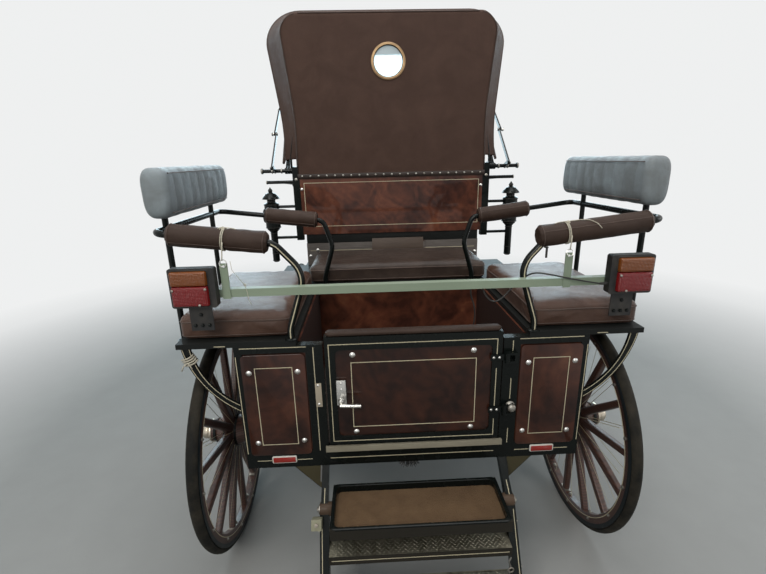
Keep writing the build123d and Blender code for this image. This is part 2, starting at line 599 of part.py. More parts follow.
# Driver's platform, footboard and dash
floor_low = platform_top
platform = across(PLATFORM_HALF, (BODY_LENGTH, PLATFORM_END), (floor_low, floor_low + PLATFORM_FLOOR))
foot_y, foot_z = FOOTBOARD_END
footboard = side_profile(((PLATFORM_END, floor_low), (foot_y, foot_z - 15), (foot_y, foot_z),
                          (PLATFORM_END, floor_low + PLATFORM_FLOOR)), (-DASH_HALF, DASH_HALF))
nodes["platform"] = fused(platform, footboard)
dash_y, dash_z = DASH_TOP
dash_face = make_face(Plane.YZ * Curve([
    ThreePointArc((foot_y + SEAT, foot_z - 15), (foot_y + 24, foot_z + 150), (dash_y, dash_z)),
    Line((dash_y, dash_z), (dash_y + 12, dash_z)),
    ThreePointArc((dash_y + 12, dash_z), (foot_y + 36, foot_z + 146), (foot_y + 12, foot_z - 15)),
    Line((foot_y + 12, foot_z - 15), (foot_y + SEAT, foot_z - 15))]))
nodes["dash"] = extrude(dash_face, DASH_HALF, both=True)
dash_iron = side_profile(((PLATFORM_END, PLATFORM_BOTTOM), (PLATFORM_END, floor_low - 3), (foot_y, foot_z - 18),
                          (foot_y, foot_z - 40)), (380, 392))
frame += both(dash_iron)
nodes["chassis"] = fused(*frame)

# Driver's seat
box_low = floor_low + PLATFORM_FLOOR
seat_box = across(SEAT_BOX_HALF, SEAT_BOX_Y, (box_low, SEAT_BOX_TOP)) - across(
    SEAT_BOX_HALF - 16, (SEAT_BOX_Y[0] + 16, SEAT_BOX_Y[1] - 16), (box_low, SEAT_BOX_TOP - 16))
nodes["seat_box"] = fused(seat_box, slab((-115, 180), (SEAT_BOX_Y[0] - 20, SEAT_BOX_Y[0]), (1018, SEAT_BOX_TOP)))
feet = both(*(slab((420, 460), (y, y + 40), (SEAT_BOX_TOP, SEAT_PAN_BOTTOM)) for y in (1130, 1440)))
nodes["seat_pan"] = fused(across(DRIVER_HALF, SEAT_PAN_Y, (SEAT_PAN_BOTTOM, SEAT_PAN_BOTTOM + SEAT_PAN)), *feet)
pan_top = SEAT_PAN_BOTTOM + SEAT_PAN
back_front = SEAT_BACK_Y + SEAT_BACK
nodes["seat_back"] = across(DRIVER_HALF, (SEAT_BACK_Y, back_front), (SEAT_PAN_BOTTOM, SEAT_BACK_TOP))
nodes["driver_cushions"] = loose(
    cushion((-DRIVER_HALF, DRIVER_HALF), (back_front + SEAT, SEAT_PAN_Y[1] + 15),
            (pan_top + SEAT, pan_top + DRIVER_CUSHION)),
    cushion((-DRIVER_HALF + 12, DRIVER_HALF - 12), (back_front + SEAT, back_front + 80),
            (pan_top + DRIVER_CUSHION + SEAT, SEAT_BACK_TOP + 10)))

# Side irons: a post beside the seat back, a cheek that carries the pivot bar, lamp arms and the driver's armrest
post = slab(IRON_X, (SEAT_BACK_Y, SEAT_BACK_Y + 32), (SEAT_PAN_BOTTOM - 30, PIVOT_Z + 20))
cheek = side_profile(((SEAT_BACK_Y, 1420), (PIVOT_Y + 20, 1440), (PIVOT_Y + 20, PIVOT_Z + 16),
                      (PIVOT_Y - 10, PIVOT_Z + 24), (SEAT_BACK_Y, PIVOT_Z + 24)), (IRON_X[1] - 8, IRON_X[1]))
pivot_bar = rod((IRON_X[1] - 4, PIVOT_Y, PIVOT_Z), (705, PIVOT_Y, PIVOT_Z), PIVOT_RADIUS)
bar_cap = rod((705, PIVOT_Y, PIVOT_Z), (712, PIVOT_Y, PIVOT_Z), PIVOT_RADIUS + 5)
rein_bar = rod((IRON_X[1] - 4, PIVOT_Y, 1450), (690, PIVOT_Y, 1450), 9)
lamp_arm = rod((IRON_X[1] - 4, IRON_Y, 1320), (LAMP_X - LAMP_BODY_RADIUS, IRON_Y, 1320), 8)
stem_arm = rod((IRON_X[1] - 4, IRON_Y, 1148), (LAMP_X - LAMP_STEM_RADIUS, IRON_Y, 1148), 8)
foot_arm = side_profile(((PIVOT_Y - 12, PIVOT_Z - 8), (PIVOT_Y + 12, PIVOT_Z + 8), (BRACE_FOOT[0] + 8, BRACE_FOOT[1] + 11),
                         (BRACE_FOOT[0] - 12, BRACE_FOOT[1] + 6), (BRACE_FOOT[0] - 8, BRACE_FOOT[1] - 11)),
                        (BRACE_X - BRACE_THICKNESS / 2 - 7, BRACE_X - BRACE_THICKNESS / 2 - SEAT))
foot_pin = rod((BRACE_X - BRACE_THICKNESS / 2 - 7, *BRACE_FOOT), (BRACE_X + BRACE_THICKNESS / 2 + 2, *BRACE_FOOT), 4)
armrest = tube([(600, PIVOT_Y, 1450), (600, 1500, 1425), (560, 1512, 1240), (540, 1512, SEAT_PAN_BOTTOM + 9),
                (DRIVER_HALF, 1512, SEAT_PAN_BOTTOM + 9)], [50, 60, 18], 9)
side_iron = fused(post, cheek, pivot_bar, bar_cap, rein_bar, lamp_arm, stem_arm, foot_arm, foot_pin, armrest)
nodes["side_irons"] = loose(*both(side_iron))

# Carriage lamps: radius and height from the candle tube's foot to the finial
lamp_points = ((0, 1010), (14, 1010), (LAMP_STEM_RADIUS, 1018), (LAMP_STEM_RADIUS, 1180), (26, 1188),
               (LAMP_BODY_RADIUS, 1208), (LAMP_BODY_RADIUS, 1338), (22, 1346), (22, 1360), (47, 1364), (44, 1374),
               (26, 1392), (10, 1400), (0, 1402))
carriage_lamp = turned(lamp_points, Axis.Z)
nodes["carriage_lamps"] = loose(*both(Pos(LAMP_X, IRON_Y, 0) * carriage_lamp))


# Hood
def bow_direction(angle):
    return (0, cos(radians(angle)), sin(radians(angle)))


def bow_plane(angle):
    """The plane of a bow: local X across the carriage, local Y away from the pivot."""
    x, y = Vector(1, 0, 0), Vector(*bow_direction(angle))
    return Plane(origin=(0, PIVOT_Y, PIVOT_Z), x_dir=x, z_dir=x.cross(y))


def bow(angle, leg, corner):
    """A round tube up one side, across and down the other, with an eye on the pivot bar at each end."""
    half = leg[0][0]
    side = [(half, PIVOT_RADIUS + 5), *leg]
    plane = bow_plane(angle)
    world = [plane.from_local_coords((x, y, 0)) for x, y in side + [(-x, y) for x, y in reversed(side)]]
    bends = [BOW_BEND, BOW_BEND, corner]
    hoop = tube(world, bends + bends[::-1], BOW_RADIUS)
    eye = rod((half - EYE_WIDTH / 2, PIVOT_Y, PIVOT_Z), (half + EYE_WIDTH / 2, PIVOT_Y, PIVOT_Z), EYE_RADIUS)
    hole = rod((-half - EYE_WIDTH, PIVOT_Y, PIVOT_Z), (half + EYE_WIDTH, PIVOT_Y, PIVOT_Z), PIVOT_RADIUS + RUNNING)
    return fused(hoop, *both(eye)) - hole


def hood_outline(leg, corner):
    """A face under the hood's outline, from its half widths and heights at the foot, the waist and the top."""
    outline = make_face(Polyline(*leg, *((-x, y) for x, y in reversed(leg)), close=True))
    outline = fillet(outline.vertices().group_by(Axis.Y)[-1], corner)
    return fillet(outline.vertices().group_by(Axis.Y)[1], COVER_BEND)


def cover_band(leg, corner, gap):
    """The cover's section: the band between two offsets of an outline, open at its foot."""
    faces = []
    for grow in (gap + COVER, gap):
        wide = [(x + grow, y) for x, y in leg[:-1]] + [(leg[-1][0] + grow, leg[-1][1] + grow)]
        faces.append(hood_outline(wide, corner + grow))
    return faces[0] - faces[1]


bow_legs = {}
cover_sections = [Plane.XZ.offset(-SEAT_BACK_Y) * cover_band(
    [(CURTAIN[0][0], PIVOT_Z + HOOD_FOOT), *CURTAIN[1:]], CURTAIN_CORNER, -COVER)]
for name, angle, folded, reach, corner, waist, low_half, waist_half, top_half in BOWS:
    bow_legs[name] = [(low_half, HOOD_FOOT), (waist_half, waist), (top_half, reach)]
    nodes[f"hood_{name}_bow"] = bow(angle, bow_legs[name], corner)
    if name != "rear":
        cover_sections.append(bow_plane(angle) * cover_band(bow_legs[name], corner, COVER_GAP))
nodes["hood_cover_rear_mid"] = loft(cover_sections[:2], ruled=True)
nodes["hood_cover_mid_front"] = loft(cover_sections[1:], ruled=True)

curtain_y = (SEAT_BACK_Y - COVER - SEAT, SEAT_BACK_Y - SEAT)
curtain = extrude(Plane.XZ.offset(-curtain_y[1]) * hood_outline(CURTAIN, CURTAIN_CORNER), COVER)
window_hole = rod((WINDOW_X, curtain_y[0] - 20, WINDOW_Z), (WINDOW_X, curtain_y[1] + 20, WINDOW_Z), WINDOW_RADIUS + 4)
ring_points = (WINDOW_X, curtain_y[0] - 6, WINDOW_Z), (WINDOW_X, curtain_y[0], WINDOW_Z)
window_ring = rod(*ring_points, WINDOW_RING) - rod(*ring_points, WINDOW_RADIUS - 2)
nodes["hood_curtain"] = fused(curtain - window_hole, window_ring)
nodes["hood_window_glass"] = rod((WINDOW_X, curtain_y[0], WINDOW_Z), (WINDOW_X, curtain_y[0] + 4, WINDOW_Z),
                                 WINDOW_RADIUS + 4 - SEAT)

# Hood braces: a foot link from the side iron and a head link from the front bow, which meet at the knuckle
front_angle = BOWS[2][1]
brace_head = (PIVOT_Y + BRACE_REACH * cos(radians(front_angle)), PIVOT_Z + BRACE_REACH * sin(radians(front_angle)))
lower_x = (BRACE_X - BRACE_THICKNESS / 2, BRACE_X + BRACE_THICKNESS / 2)
upper_x = (lower_x[1] + 1, lower_x[1] + 1 + BRACE_THICKNESS)
foot_hole = rod((lower_x[0] - 1, *BRACE_FOOT), (lower_x[1] + 1, *BRACE_FOOT), 4 + RUNNING)
nodes["brace_lower"] = loose(*both(link(BRACE_FOOT, BRACE_KNUCKLE, BRACE_WIDTH, lower_x) - foot_hole))
head_hole = rod((upper_x[0] - 1, *brace_head), (upper_x[1] + 1, *brace_head), 4 + RUNNING)
nodes["brace_upper"] = loose(*both(link(BRACE_KNUCKLE, brace_head, BRACE_WIDTH, upper_x) - head_hole))
foot, waist, top = bow_legs["front"]
bow_half_there = waist[0] + (top[0] - waist[0]) * (BRACE_REACH - waist[1]) / (top[1] - waist[1])
head_pin = rod((bow_half_there, *brace_head), (upper_x[1] + 2, *brace_head), 4)
nodes["hood_front_bow"] = fused(nodes["hood_front_bow"], *both(head_pin))
pin_notch = rod((bow_half_there, *brace_head), (upper_x[1] + 2, *brace_head), 4 + 2 * SEAT)
nodes["hood_cover_mid_front"] = nodes["hood_cover_mid_front"] - both(pin_notch)

# Turntable, king pin and the pedestal under the platform
ring_low = FORE_TOP + RING + SEAT
flat_ring = Cylinder(RING_OUTER, RING, align=STAND) - Cylinder(RING_INNER, RING, align=STAND)
upper_ring = Pos(0, KINGPIN_Y, ring_low) * flat_ring
pedestal_rear = KINGPIN_Y - PEDESTAL_REACH
beam_low = ring_low + RING + PEDESTAL_BEAM
pedestal = both(slab(PEDESTAL_X, (pedestal_rear, PLATFORM_END), (ring_low + RING, PLATFORM_BOTTOM)))
pedestal += [
    across(PEDESTAL_HALF, (pedestal_rear, pedestal_rear + PEDESTAL_BEAM), (beam_low, PLATFORM_BOTTOM)),
    across(PEDESTAL_HALF, (PLATFORM_END - PEDESTAL_BEAM, PLATFORM_END), (beam_low, PLATFORM_BOTTOM)),
    across(PEDESTAL_X[1], (KINGPIN_Y - 30, KINGPIN_Y + 30), (ring_low, PLATFORM_BOTTOM)),
]
kingpin = rod((0, KINGPIN_Y, FORE_BOTTOM - 20), (0, KINGPIN_Y, ring_low + 20), KINGPIN_RADIUS)
nodes["turntable_top"] = fused(upper_ring, *pedestal, kingpin)

# Fore-carriage
lower_ring = Pos(0, KINGPIN_Y, FORE_TOP) * flat_ring
fore_z = (FORE_TOP - SPLINTER, FORE_TOP)
bolster = across(SPRING_X_FRONT + 30, (KINGPIN_Y - 40, KINGPIN_Y + 40), (FORE_BOTTOM, FORE_TOP))
futchells = both(slab(FUTCHELL_X, (KINGPIN_Y - RING_OUTER, KINGPIN_Y + SPLINTER_Y), fore_z))
cross_rear = across(FUTCHELL_X[1], (KINGPIN_Y - RING_OUTER, KINGPIN_Y - RING_OUTER + 40), fore_z)
pin_hole = rod((0, KINGPIN_Y, FORE_BOTTOM - 1), (0, KINGPIN_Y, FORE_TOP + 1), KINGPIN_RADIUS + RUNNING)
nodes["fore_frame"] = fused(bolster, *futchells, cross_rear, lower_ring) - pin_hole
front_axle_y = (KINGPIN_Y - half, KINGPIN_Y + half)
front_inner = FRONT_WHEEL_X - NAVE_INBOARD - HUB_FLANGE - MOVING
nodes["front_axle"] = fused(
    across(front_inner, front_axle_y, (FRONT_WHEEL_RADIUS - half, FRONT_WHEEL_RADIUS + half)),
    *both(spindle(FRONT_WHEEL_X, FRONT_WHEEL_RADIUS, KINGPIN_Y, front_inner - half)))
front_spring = leaf_spring(SPRING_LENGTH_FRONT, FORE_BOTTOM - FRONT_WHEEL_RADIUS - half)
nodes["front_springs"] = loose(*both(
    Pos(SPRING_X_FRONT, KINGPIN_Y, FRONT_WHEEL_RADIUS + half) * front_spring))
splinter_y = (KINGPIN_Y + SPLINTER_Y, KINGPIN_Y + SPLINTER_Y + SPLINTER)
splinter = fillet(across(SPLINTER_HALF, splinter_y, fore_z).edges().filter_by(Axis.X), 12)
tree_y, tree_z = splinter_y[1] + SINGLETREE_AHEAD, FORE_TOP - SPLINTER / 2
tongues = [slab((SINGLETREE_X - 20, SINGLETREE_X + 20), (splinter_y[0] + 8, tree_y + 20), z)
           for z in ((tree_z - 28, tree_z - 22), (tree_z + 22, tree_z + 28))]
tree_pin = rod((SINGLETREE_X, tree_y, tree_z - 28), (SINGLETREE_X, tree_y, tree_z + 28), 7)
socket_y = (splinter_y[1] + 20 - SOCKET_LENGTH, splinter_y[1] + 20)
socket = rod((0, socket_y[0], SOCKET_Z), (0, socket_y[1], SOCKET_Z), SOCKET_RADIUS)
socket_bore = rod((0, socket_y[1] - SOCKET_DEPTH, SOCKET_Z), (0, socket_y[1] + 1, SOCKET_Z), SOCKET_BORE)
lugs = [across(20, splinter_y, (SOCKET_Z, fore_z[0])),
        across(FUTCHELL_X[1], (socket_y[0] + 20, socket_y[0] + 50), (SOCKET_Z, fore_z[0]))]
nodes["splinter_bar"] = fused(splinter, *both(*tongues, tree_pin), socket, *lugs) - socket_bore


def singletree():
    half_bar = loft([Circle(SINGLETREE_RADIUS), Plane.XY.offset(SINGLETREE_HALF - 20) * Circle(SINGLETREE_RADIUS - 6)],
                    ruled=True)
    ferrule = Pos(0, 0, SINGLETREE_HALF - 20) * Cylinder(SINGLETREE_RADIUS - 4, 20, align=STAND)
    arm = Rot(0, 90, 0) * fused(half_bar, ferrule)
    return fused(*both(arm)) - rod((0, 0, -40), (0, 0, 40), 7 + RUNNING)


for side, name in ((-1, "left"), (1, "right")):
    nodes[f"singletree_{name}"] = Pos(side * SINGLETREE_X, tree_y, tree_z) * singletree()

# The origin moves to the ground under the middle of the carriage
length_low = min(shape.bounding_box().min.Y for shape in nodes.values())
length_high = max(shape.bounding_box().max.Y for shape in nodes.values())
MIDDLE_Y = (length_low + length_high) / 2
for name, shape in nodes.items():
    export_step(Pos(0, -MIDDLE_Y, 0) * shape, f"parts/{name}.step")
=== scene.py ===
from math import atan2, copysign, cos, exp, pi, radians, sin, tan, tau

import bmesh
import bpy
from mathutils import Matrix, Vector, kdtree, noise


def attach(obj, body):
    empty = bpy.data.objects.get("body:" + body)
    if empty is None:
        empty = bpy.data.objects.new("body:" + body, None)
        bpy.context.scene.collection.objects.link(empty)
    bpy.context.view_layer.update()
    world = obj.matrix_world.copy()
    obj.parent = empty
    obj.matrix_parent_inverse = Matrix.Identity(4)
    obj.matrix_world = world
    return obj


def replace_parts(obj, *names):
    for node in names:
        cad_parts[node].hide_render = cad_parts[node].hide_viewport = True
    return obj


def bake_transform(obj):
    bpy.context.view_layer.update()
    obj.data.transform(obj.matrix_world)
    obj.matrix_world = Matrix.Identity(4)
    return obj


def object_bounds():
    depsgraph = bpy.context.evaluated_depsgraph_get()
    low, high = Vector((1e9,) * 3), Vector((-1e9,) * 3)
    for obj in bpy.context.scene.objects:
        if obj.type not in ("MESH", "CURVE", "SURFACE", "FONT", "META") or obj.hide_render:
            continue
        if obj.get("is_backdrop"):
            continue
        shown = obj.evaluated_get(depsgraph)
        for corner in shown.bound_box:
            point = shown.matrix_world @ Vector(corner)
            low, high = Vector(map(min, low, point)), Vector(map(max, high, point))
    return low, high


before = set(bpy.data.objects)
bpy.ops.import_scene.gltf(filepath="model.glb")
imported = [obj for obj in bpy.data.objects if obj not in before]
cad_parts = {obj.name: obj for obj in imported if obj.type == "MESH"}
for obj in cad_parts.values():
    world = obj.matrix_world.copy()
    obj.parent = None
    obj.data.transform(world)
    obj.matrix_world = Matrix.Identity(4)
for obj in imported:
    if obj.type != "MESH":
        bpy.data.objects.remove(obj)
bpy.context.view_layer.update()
scene = bpy.context.scene
scene.view_settings.view_transform = "Standard"

# Points are written in millimetres from the body's rear face, as in the part's source
REAR_FACE = -1097.5
SIDES = ((1, "right"), (-1, "left"))
REARWARD, UPWARD, DOWNWARD = (0, -1, 0), (0, 0, 1), (0, 0, -1)


def at(point):
    """A point of the source in the scene's metres."""
    x, y, z = point
    return Vector((x, y + REAR_FACE, z)) / 1000


def linked(name, data):
    obj = bpy.data.objects.new(name, data)
    scene.collection.objects.link(obj)
    return obj


# Camera, fitted to the photograph
CAMERA_PLACE = (-0.1462, -2.4313, 1.561)
YAW, PITCH, TILT = radians(-1.99), radians(16.54), radians(-1.35)
camera_data = bpy.data.cameras.new("camera")
camera_data.lens = 20.256
camera_data.sensor_width = 36
scene.camera = linked("camera", camera_data)
right = Vector((cos(YAW), sin(YAW), 0))
level = Vector((-sin(YAW), cos(YAW), 0))
ahead = level * cos(PITCH) - Vector(UPWARD) * sin(PITCH)
up = Vector(UPWARD) * cos(PITCH) + level * sin(PITCH)
right, up = right * cos(TILT) + up * sin(TILT), up * cos(TILT) - right * sin(TILT)
turn = Matrix((right, up, -ahead)).transposed().to_4x4()
scene.camera.matrix_world = Matrix.Translation(CAMERA_PLACE) @ turn

# Light and background
# name, place, target, size, power, colour
LAMPS = (
    ("top_light", (0, -0.6, 5.0), (0, -0.3, 0.8), (4, 4), 138, (1, 1, 1)),
    ("rear_light", (-1.5, -4.8, 3.8), (0, -0.2, 1.2), (2.6, 2.0), 138, (1.0, 0.97, 0.92)),
    ("side_light", (4.6, -1.5, 2.6), (0, 0, 0.9), (2.6, 2.6), 56, (1, 1, 1)),
    ("front_light", (0, 5.6, 2.9), (0, -0.3, 1.2), (8.5, 3.2), 360, (0.64, 0.88, 1.0)),
)
for name, place, target, size, power, colour in LAMPS:
    data = bpy.data.lights.new(name, "AREA")
    data.shape = "RECTANGLE"
    data.size, data.size_y = size
    data.energy, data.color = power, colour
    lamp = linked(name, data)
    lamp.location = place
    lamp.rotation_euler = (Vector(target) - Vector(place)).to_track_quat("-Z", "Y").to_euler()

PALE, DAYLIGHT = (0.86, 0.87, 0.87, 1), (0.93, 0.97, 1.0, 1)


def seen_rays(tree):
    """1 for the rays that show a background: camera, glossy and transmission rays."""
    rays = tree.nodes.new("ShaderNodeLightPath").outputs
    share = rays["Is Camera Ray"]
    for kind in ("Is Glossy Ray", "Is Transmission Ray"):
        either = tree.nodes.new("ShaderNodeMath")
        either.operation = "MAXIMUM"
        tree.links.new(share, either.inputs[0])
        tree.links.new(rays[kind], either.inputs[1])
        share = either.outputs[0]
    return share


world = bpy.data.worlds.new("world")
scene.world = world
world.use_nodes = True
tree = world.node_tree
mix = tree.nodes.new("ShaderNodeMixShader")
tree.links.new(seen_rays(tree), mix.inputs[0])
tree.links.new(mix.outputs[0], tree.nodes["World Output"].inputs["Surface"])
seen = tree.nodes.new("ShaderNodeBackground")
for slot, shade, colour, strength in ((1, tree.nodes["Background"], DAYLIGHT, 0.2), (2, seen, PALE, 1)):
    shade.inputs["Color"].default_value = colour
    shade.inputs["Strength"].default_value = strength
    tree.links.new(shade.outputs[0], mix.inputs[slot])


# Materials: each is a small node tree on the mesh's own coordinates
def toned(colour, by):
    return tuple(c * by for c in colour)


class Paint:
    """A material under construction; its methods add nodes and return sockets."""

    def __init__(self, name, colour=(0.5, 0.5, 0.5), **sockets):
        self.material = bpy.data.materials.new(name)
        self.material.use_nodes = True
        self.tree = self.material.node_tree
        self.shader = self.tree.nodes["Principled BSDF"]
        self.feed(self.shader.inputs["Base Color"], colour)
        for key, value in sockets.items():
            self.shader.inputs[key.replace("_", " ")].default_value = value
        self.place = self.node("TexCoord").outputs["Object"]

    def node(self, kind, inputs=(), **settings):
        node = self.tree.nodes.new("ShaderNode" + kind)
        for key, value in settings.items():
            setattr(node, key, value)
        for key, value in dict(inputs).items():
            self.feed(node.inputs[key], value)
        return node

    def feed(self, socket, value):
        if isinstance(value, bpy.types.NodeSocket):
            self.tree.links.new(value, socket)
        elif isinstance(value, tuple) and len(value) == 3 and socket.type == "RGBA":
            socket.default_value = (*value, 1)
        else:
            socket.default_value = value

    def math(self, kind, a, b):
        return self.node("Math", {0: a, 1: b}, operation=kind).outputs[0]

    def fit(self, value, factor, offset):
        return self.math("ADD", self.math("MULTIPLY", value, factor), offset)

    def scaled(self, scale=(1, 1, 1), turn=(0, 0, 0)):
        return self.node("Mapping", {"Vector": self.place, "Scale": scale, "Rotation": turn}).outputs[0]

    def noise(self, scale, detail=4, rough=0.55, warp=0.0, place=None, out="Fac"):
        inputs = {"Vector": place or self.place, "Scale": scale, "Detail": detail, "Roughness": rough,
                  "Distortion": warp}
        return self.node("TexNoise", inputs).outputs[out]

    def cells(self, scale, kind="F1", place=None):
        inputs = {"Vector": place or self.place, "Scale": scale}
        return self.node("TexVoronoi", inputs, feature=kind).outputs["Distance"]

    def waves(self, scale, direction, warp=0.0, detail=0.0, place=None):
        inputs = {"Vector": place or self.place, "Scale": scale, "Distortion": warp, "Detail": detail}
        return self.node("TexWave", inputs, bands_direction=direction).outputs["Fac"]

    def ramp(self, value, *stops):
        """Colours or greys along a value: (position, colour) pairs."""
        node = self.node("ValToRGB", {0: value})
        steps = node.color_ramp.elements
        while len(steps) < len(stops):
            steps.new(0.5)
        for step, (place, colour) in zip(steps, stops):
            step.position = place
            step.color = (*colour, 1) if isinstance(colour, tuple) else (colour, colour, colour, 1)
        return node.outputs[0]

    def blend(self, share, a, b, kind="MIX"):
        return self.node("Mix", {0: share, 6: a, 7: b}, data_type="RGBA", blend_type=kind).outputs[2]

    def done(self, colour, rough, *bumps):
        """Feeds colour and roughness, and stacks bumps of (height, distance, strength)."""
        self.feed(self.shader.inputs["Base Color"], colour)
        self.feed(self.shader.inputs["Roughness"], rough)
        last = None
        for height, distance, strength in bumps:
            node = self.node("Bump", {"Height": height, "Distance": distance, "Strength": strength})
            if last:
                self.feed(node.inputs["Normal"], last)
            last = node.outputs[0]
        self.feed(self.shader.inputs["Normal"], last)
        return self.material


def lacquer(name, colour, dust=(0.16, 0.15, 0.13), rough=0.22, dusty=0.12):
    """Brushed coach paint: slightly uneven gloss, and dust where faces look up."""
    p = Paint(name, colour, Coat_Weight=0.08, Coat_Roughness=0.06, Specular_IOR_Level=0.12)
    normal = p.node("SeparateXYZ", {0: p.node("NewGeometry").outputs["Normal"]})
    upward = p.math("POWER", p.math("MAXIMUM", normal.outputs["Z"], 0.0), 3.0)
    patches = p.ramp(p.noise(9, 6, 0.6), (0.42, 0.0), (0.72, 1.0))
    share = p.math("MULTIPLY", p.math("MULTIPLY", upward, patches), dusty)
    tone = p.blend(p.noise(3, 3), toned(colour, 0.75), toned(colour, 1.3))
    return p.done(p.blend(share, tone, dust), p.fit(p.noise(35, 5), 0.18, rough - 0.05),
                  (p.noise(18, 3), 0.0006, 0.25))


# Burl: share of the figure and its colour, from the dark eyes to the gold clouds
BURL_TONES = (
    (0.26, (0.008, 0.0028, 0.0022)),
    (0.42, (0.024, 0.0085, 0.0056)),
    (0.60, (0.058, 0.0190, 0.0105)),
    (0.84, (0.105, 0.0400, 0.0200)),
)


def burl(name, turn=(0, 0, 0), tone=1.0, inner_painted_light=1.0):
    """Burl veneer under varnish; faces ahead of the door's plane are painted lighter by the inner factor,
    painted light that makes up for the shade inside the tub.
    """
    p = Paint(name, Coat_Weight=0.3, Coat_Roughness=0.04, Specular_IOR_Level=0.15)
    place = p.scaled(turn=turn)
    drift = p.noise(5.5, 3, 0.5, 0.0, place, "Color")
    pull = p.node("VectorMath", {0: drift, "Scale": 0.10}, operation="SCALE").outputs[0]
    place = p.node("VectorMath", {0: place, 1: pull}, operation="ADD").outputs[0]
    cloud = p.noise(5.5, 6, 0.54, 0.9, place)
    lines = p.waves(9, "DIAGONAL", 8, 3, place)
    eyes = p.cells(34, "SMOOTH_F1", place)
    figure = p.math("MULTIPLY", cloud, 0.86)
    for part, weight in ((lines, 0.05), (eyes, 0.12)):
        figure = p.math("ADD", figure, p.math("MULTIPLY", part, weight))
    wood = p.ramp(figure, *((share, toned(colour, tone)) for share, colour in BURL_TONES))
    spots = p.ramp(p.noise(70, 3, 0.6, 0.4, place), (0.26, 0.8), (0.46, 1.0))
    wood = p.blend(1.0, wood, spots, "MULTIPLY")
    # Painted light: faces ahead of the door's plane are lightened to make up for the shade inside the tub
    if inner_painted_light != 1.0:
        split = p.node("SeparateXYZ", {0: p.place})
        depth = p.ramp(p.math("ADD", split.outputs["Y"], 1.06), (0.0, 1.0), (0.06, inner_painted_light))
        wood = p.blend(1.0, wood, depth, "MULTIPLY")
    return p.done(wood, p.fit(p.noise(7, 5), 0.22, 0.24), (cloud, 0.0006, 0.3))


def leather(name, colour, light, grain=900, rough=0.42, sheen=0.03, shine=0.28):
    """Leathercloth: pebbled grain, creases, slow changes of tone, worn paler high spots."""
    p = Paint(name, Sheen_Weight=sheen, Sheen_Roughness=0.4, Specular_IOR_Level=shine)
    worn = p.ramp(p.noise(7, 7, 0.62, 0.5), (0.40, 0.0), (0.75, 1.0))
    pores = p.cells(grain, "DISTANCE_TO_EDGE")
    tone = p.blend(worn, colour, light)
    tone = p.blend(p.ramp(pores, (0.0, 0.5), (0.12, 0.0)), tone, toned(colour, 0.45))
    return p.done(tone, p.fit(p.noise(40, 5), 0.22, rough - 0.1), (p.noise(24, 6, 0.6, 0.6), 0.003, 0.25),
                  (p.ramp(pores, (0.0, 0.0), (0.2, 1.0)), 0.0004, 0.5))


def metal(name, colour, rough=0.3, tarnish=(0.09, 0.075, 0.055), amount=0.5):
    p = Paint(name, colour, Metallic=1.0)
    stain = p.ramp(p.noise(28, 7, 0.65), (0.48, 0.0), (0.75, amount))
    return p.done(p.blend(stain, colour, tarnish), p.fit(p.noise(60, 5), 0.3, rough - 0.1),
                  (p.noise(220, 4), 0.0003, 0.3))


def plain_wood(name, dark, light, along=(1, 12, 12), coat=0.3, rough=0.4):
    p = Paint(name, Coat_Weight=coat, Coat_Roughness=0.15)
    place = p.scaled(along)
    grain = p.noise(9, 8, 0.7, 0.7, place)
    rings = p.math("MULTIPLY", p.waves(5, "Z", 6, 3, place), 0.3)
    figure = p.math("ADD", p.math("MULTIPLY", grain, 0.7), rings)
    return p.done(p.ramp(figure, (0.3, dark), (0.62, light)), p.fit(grain, 0.25, rough - 0.1),
                  (grain, 0.0007, 0.35))


def twine():
    p = Paint("twine", Specular_IOR_Level=0.1, Sheen_Weight=0.1)
    return p.done(p.blend(p.noise(90, 5), (0.36, 0.33, 0.26), (0.60, 0.57, 0.47)), 0.9,
                  (p.noise(1500, 4), 0.0006, 0.6))


def black_rubber():
    p = Paint("black_rubber", (0.010, 0.010, 0.010), Specular_IOR_Level=0.4)
    dirt = p.ramp(p.noise(30, 6), (0.4, 0.0), (0.7, 1.0))
    return p.done(p.blend(dirt, (0.008, 0.008, 0.008), (0.030, 0.027, 0.023)), 0.55,
                  (p.noise(400, 5), 0.0005, 0.4))


def tyre_rubber():
    p = Paint("tyre_rubber", Specular_IOR_Level=0.15)
    dirt = p.ramp(p.noise(14, 7, 0.65), (0.38, 0.0), (0.68, 1.0))
    return p.done(p.blend(dirt, (0.007, 0.007, 0.006), (0.030, 0.026, 0.019)),
                  p.fit(p.noise(50, 5), 0.25, 0.6), (p.noise(90, 6), 0.0015, 0.4))


def lens(name, colour, pitch=70):
    p = Paint(name, colour, Transmission_Weight=0.1, Coat_Weight=0.12, Specular_IOR_Level=0.25)
    ribs, rows = p.waves(pitch, "X"), p.waves(pitch, "Z")
    return p.done(p.blend(p.math("MULTIPLY", ribs, 0.5), colour, toned(colour, 0.45)), 0.12,
                  (p.math("ADD", ribs, rows), 0.0012, 0.6))


def glass(name, colour, share):
    p = Paint(name, colour, Transmission_Weight=share, IOR=1.45)
    return p.done(colour, p.math("MULTIPLY", p.noise(6, 5), 0.16), (p.noise(10, 2), 0.0006, 0.15))


def coir():
    p = Paint("mat_coir", Specular_IOR_Level=0.1, Sheen_Weight=0.03)
    return p.done(p.blend(p.noise(16, 6, 0.6), (0.085, 0.050, 0.026), (0.215, 0.135, 0.072)), 0.95,
                  (p.cells(420), 0.004, 0.9), (p.noise(260, 5), 0.003, 0.7))


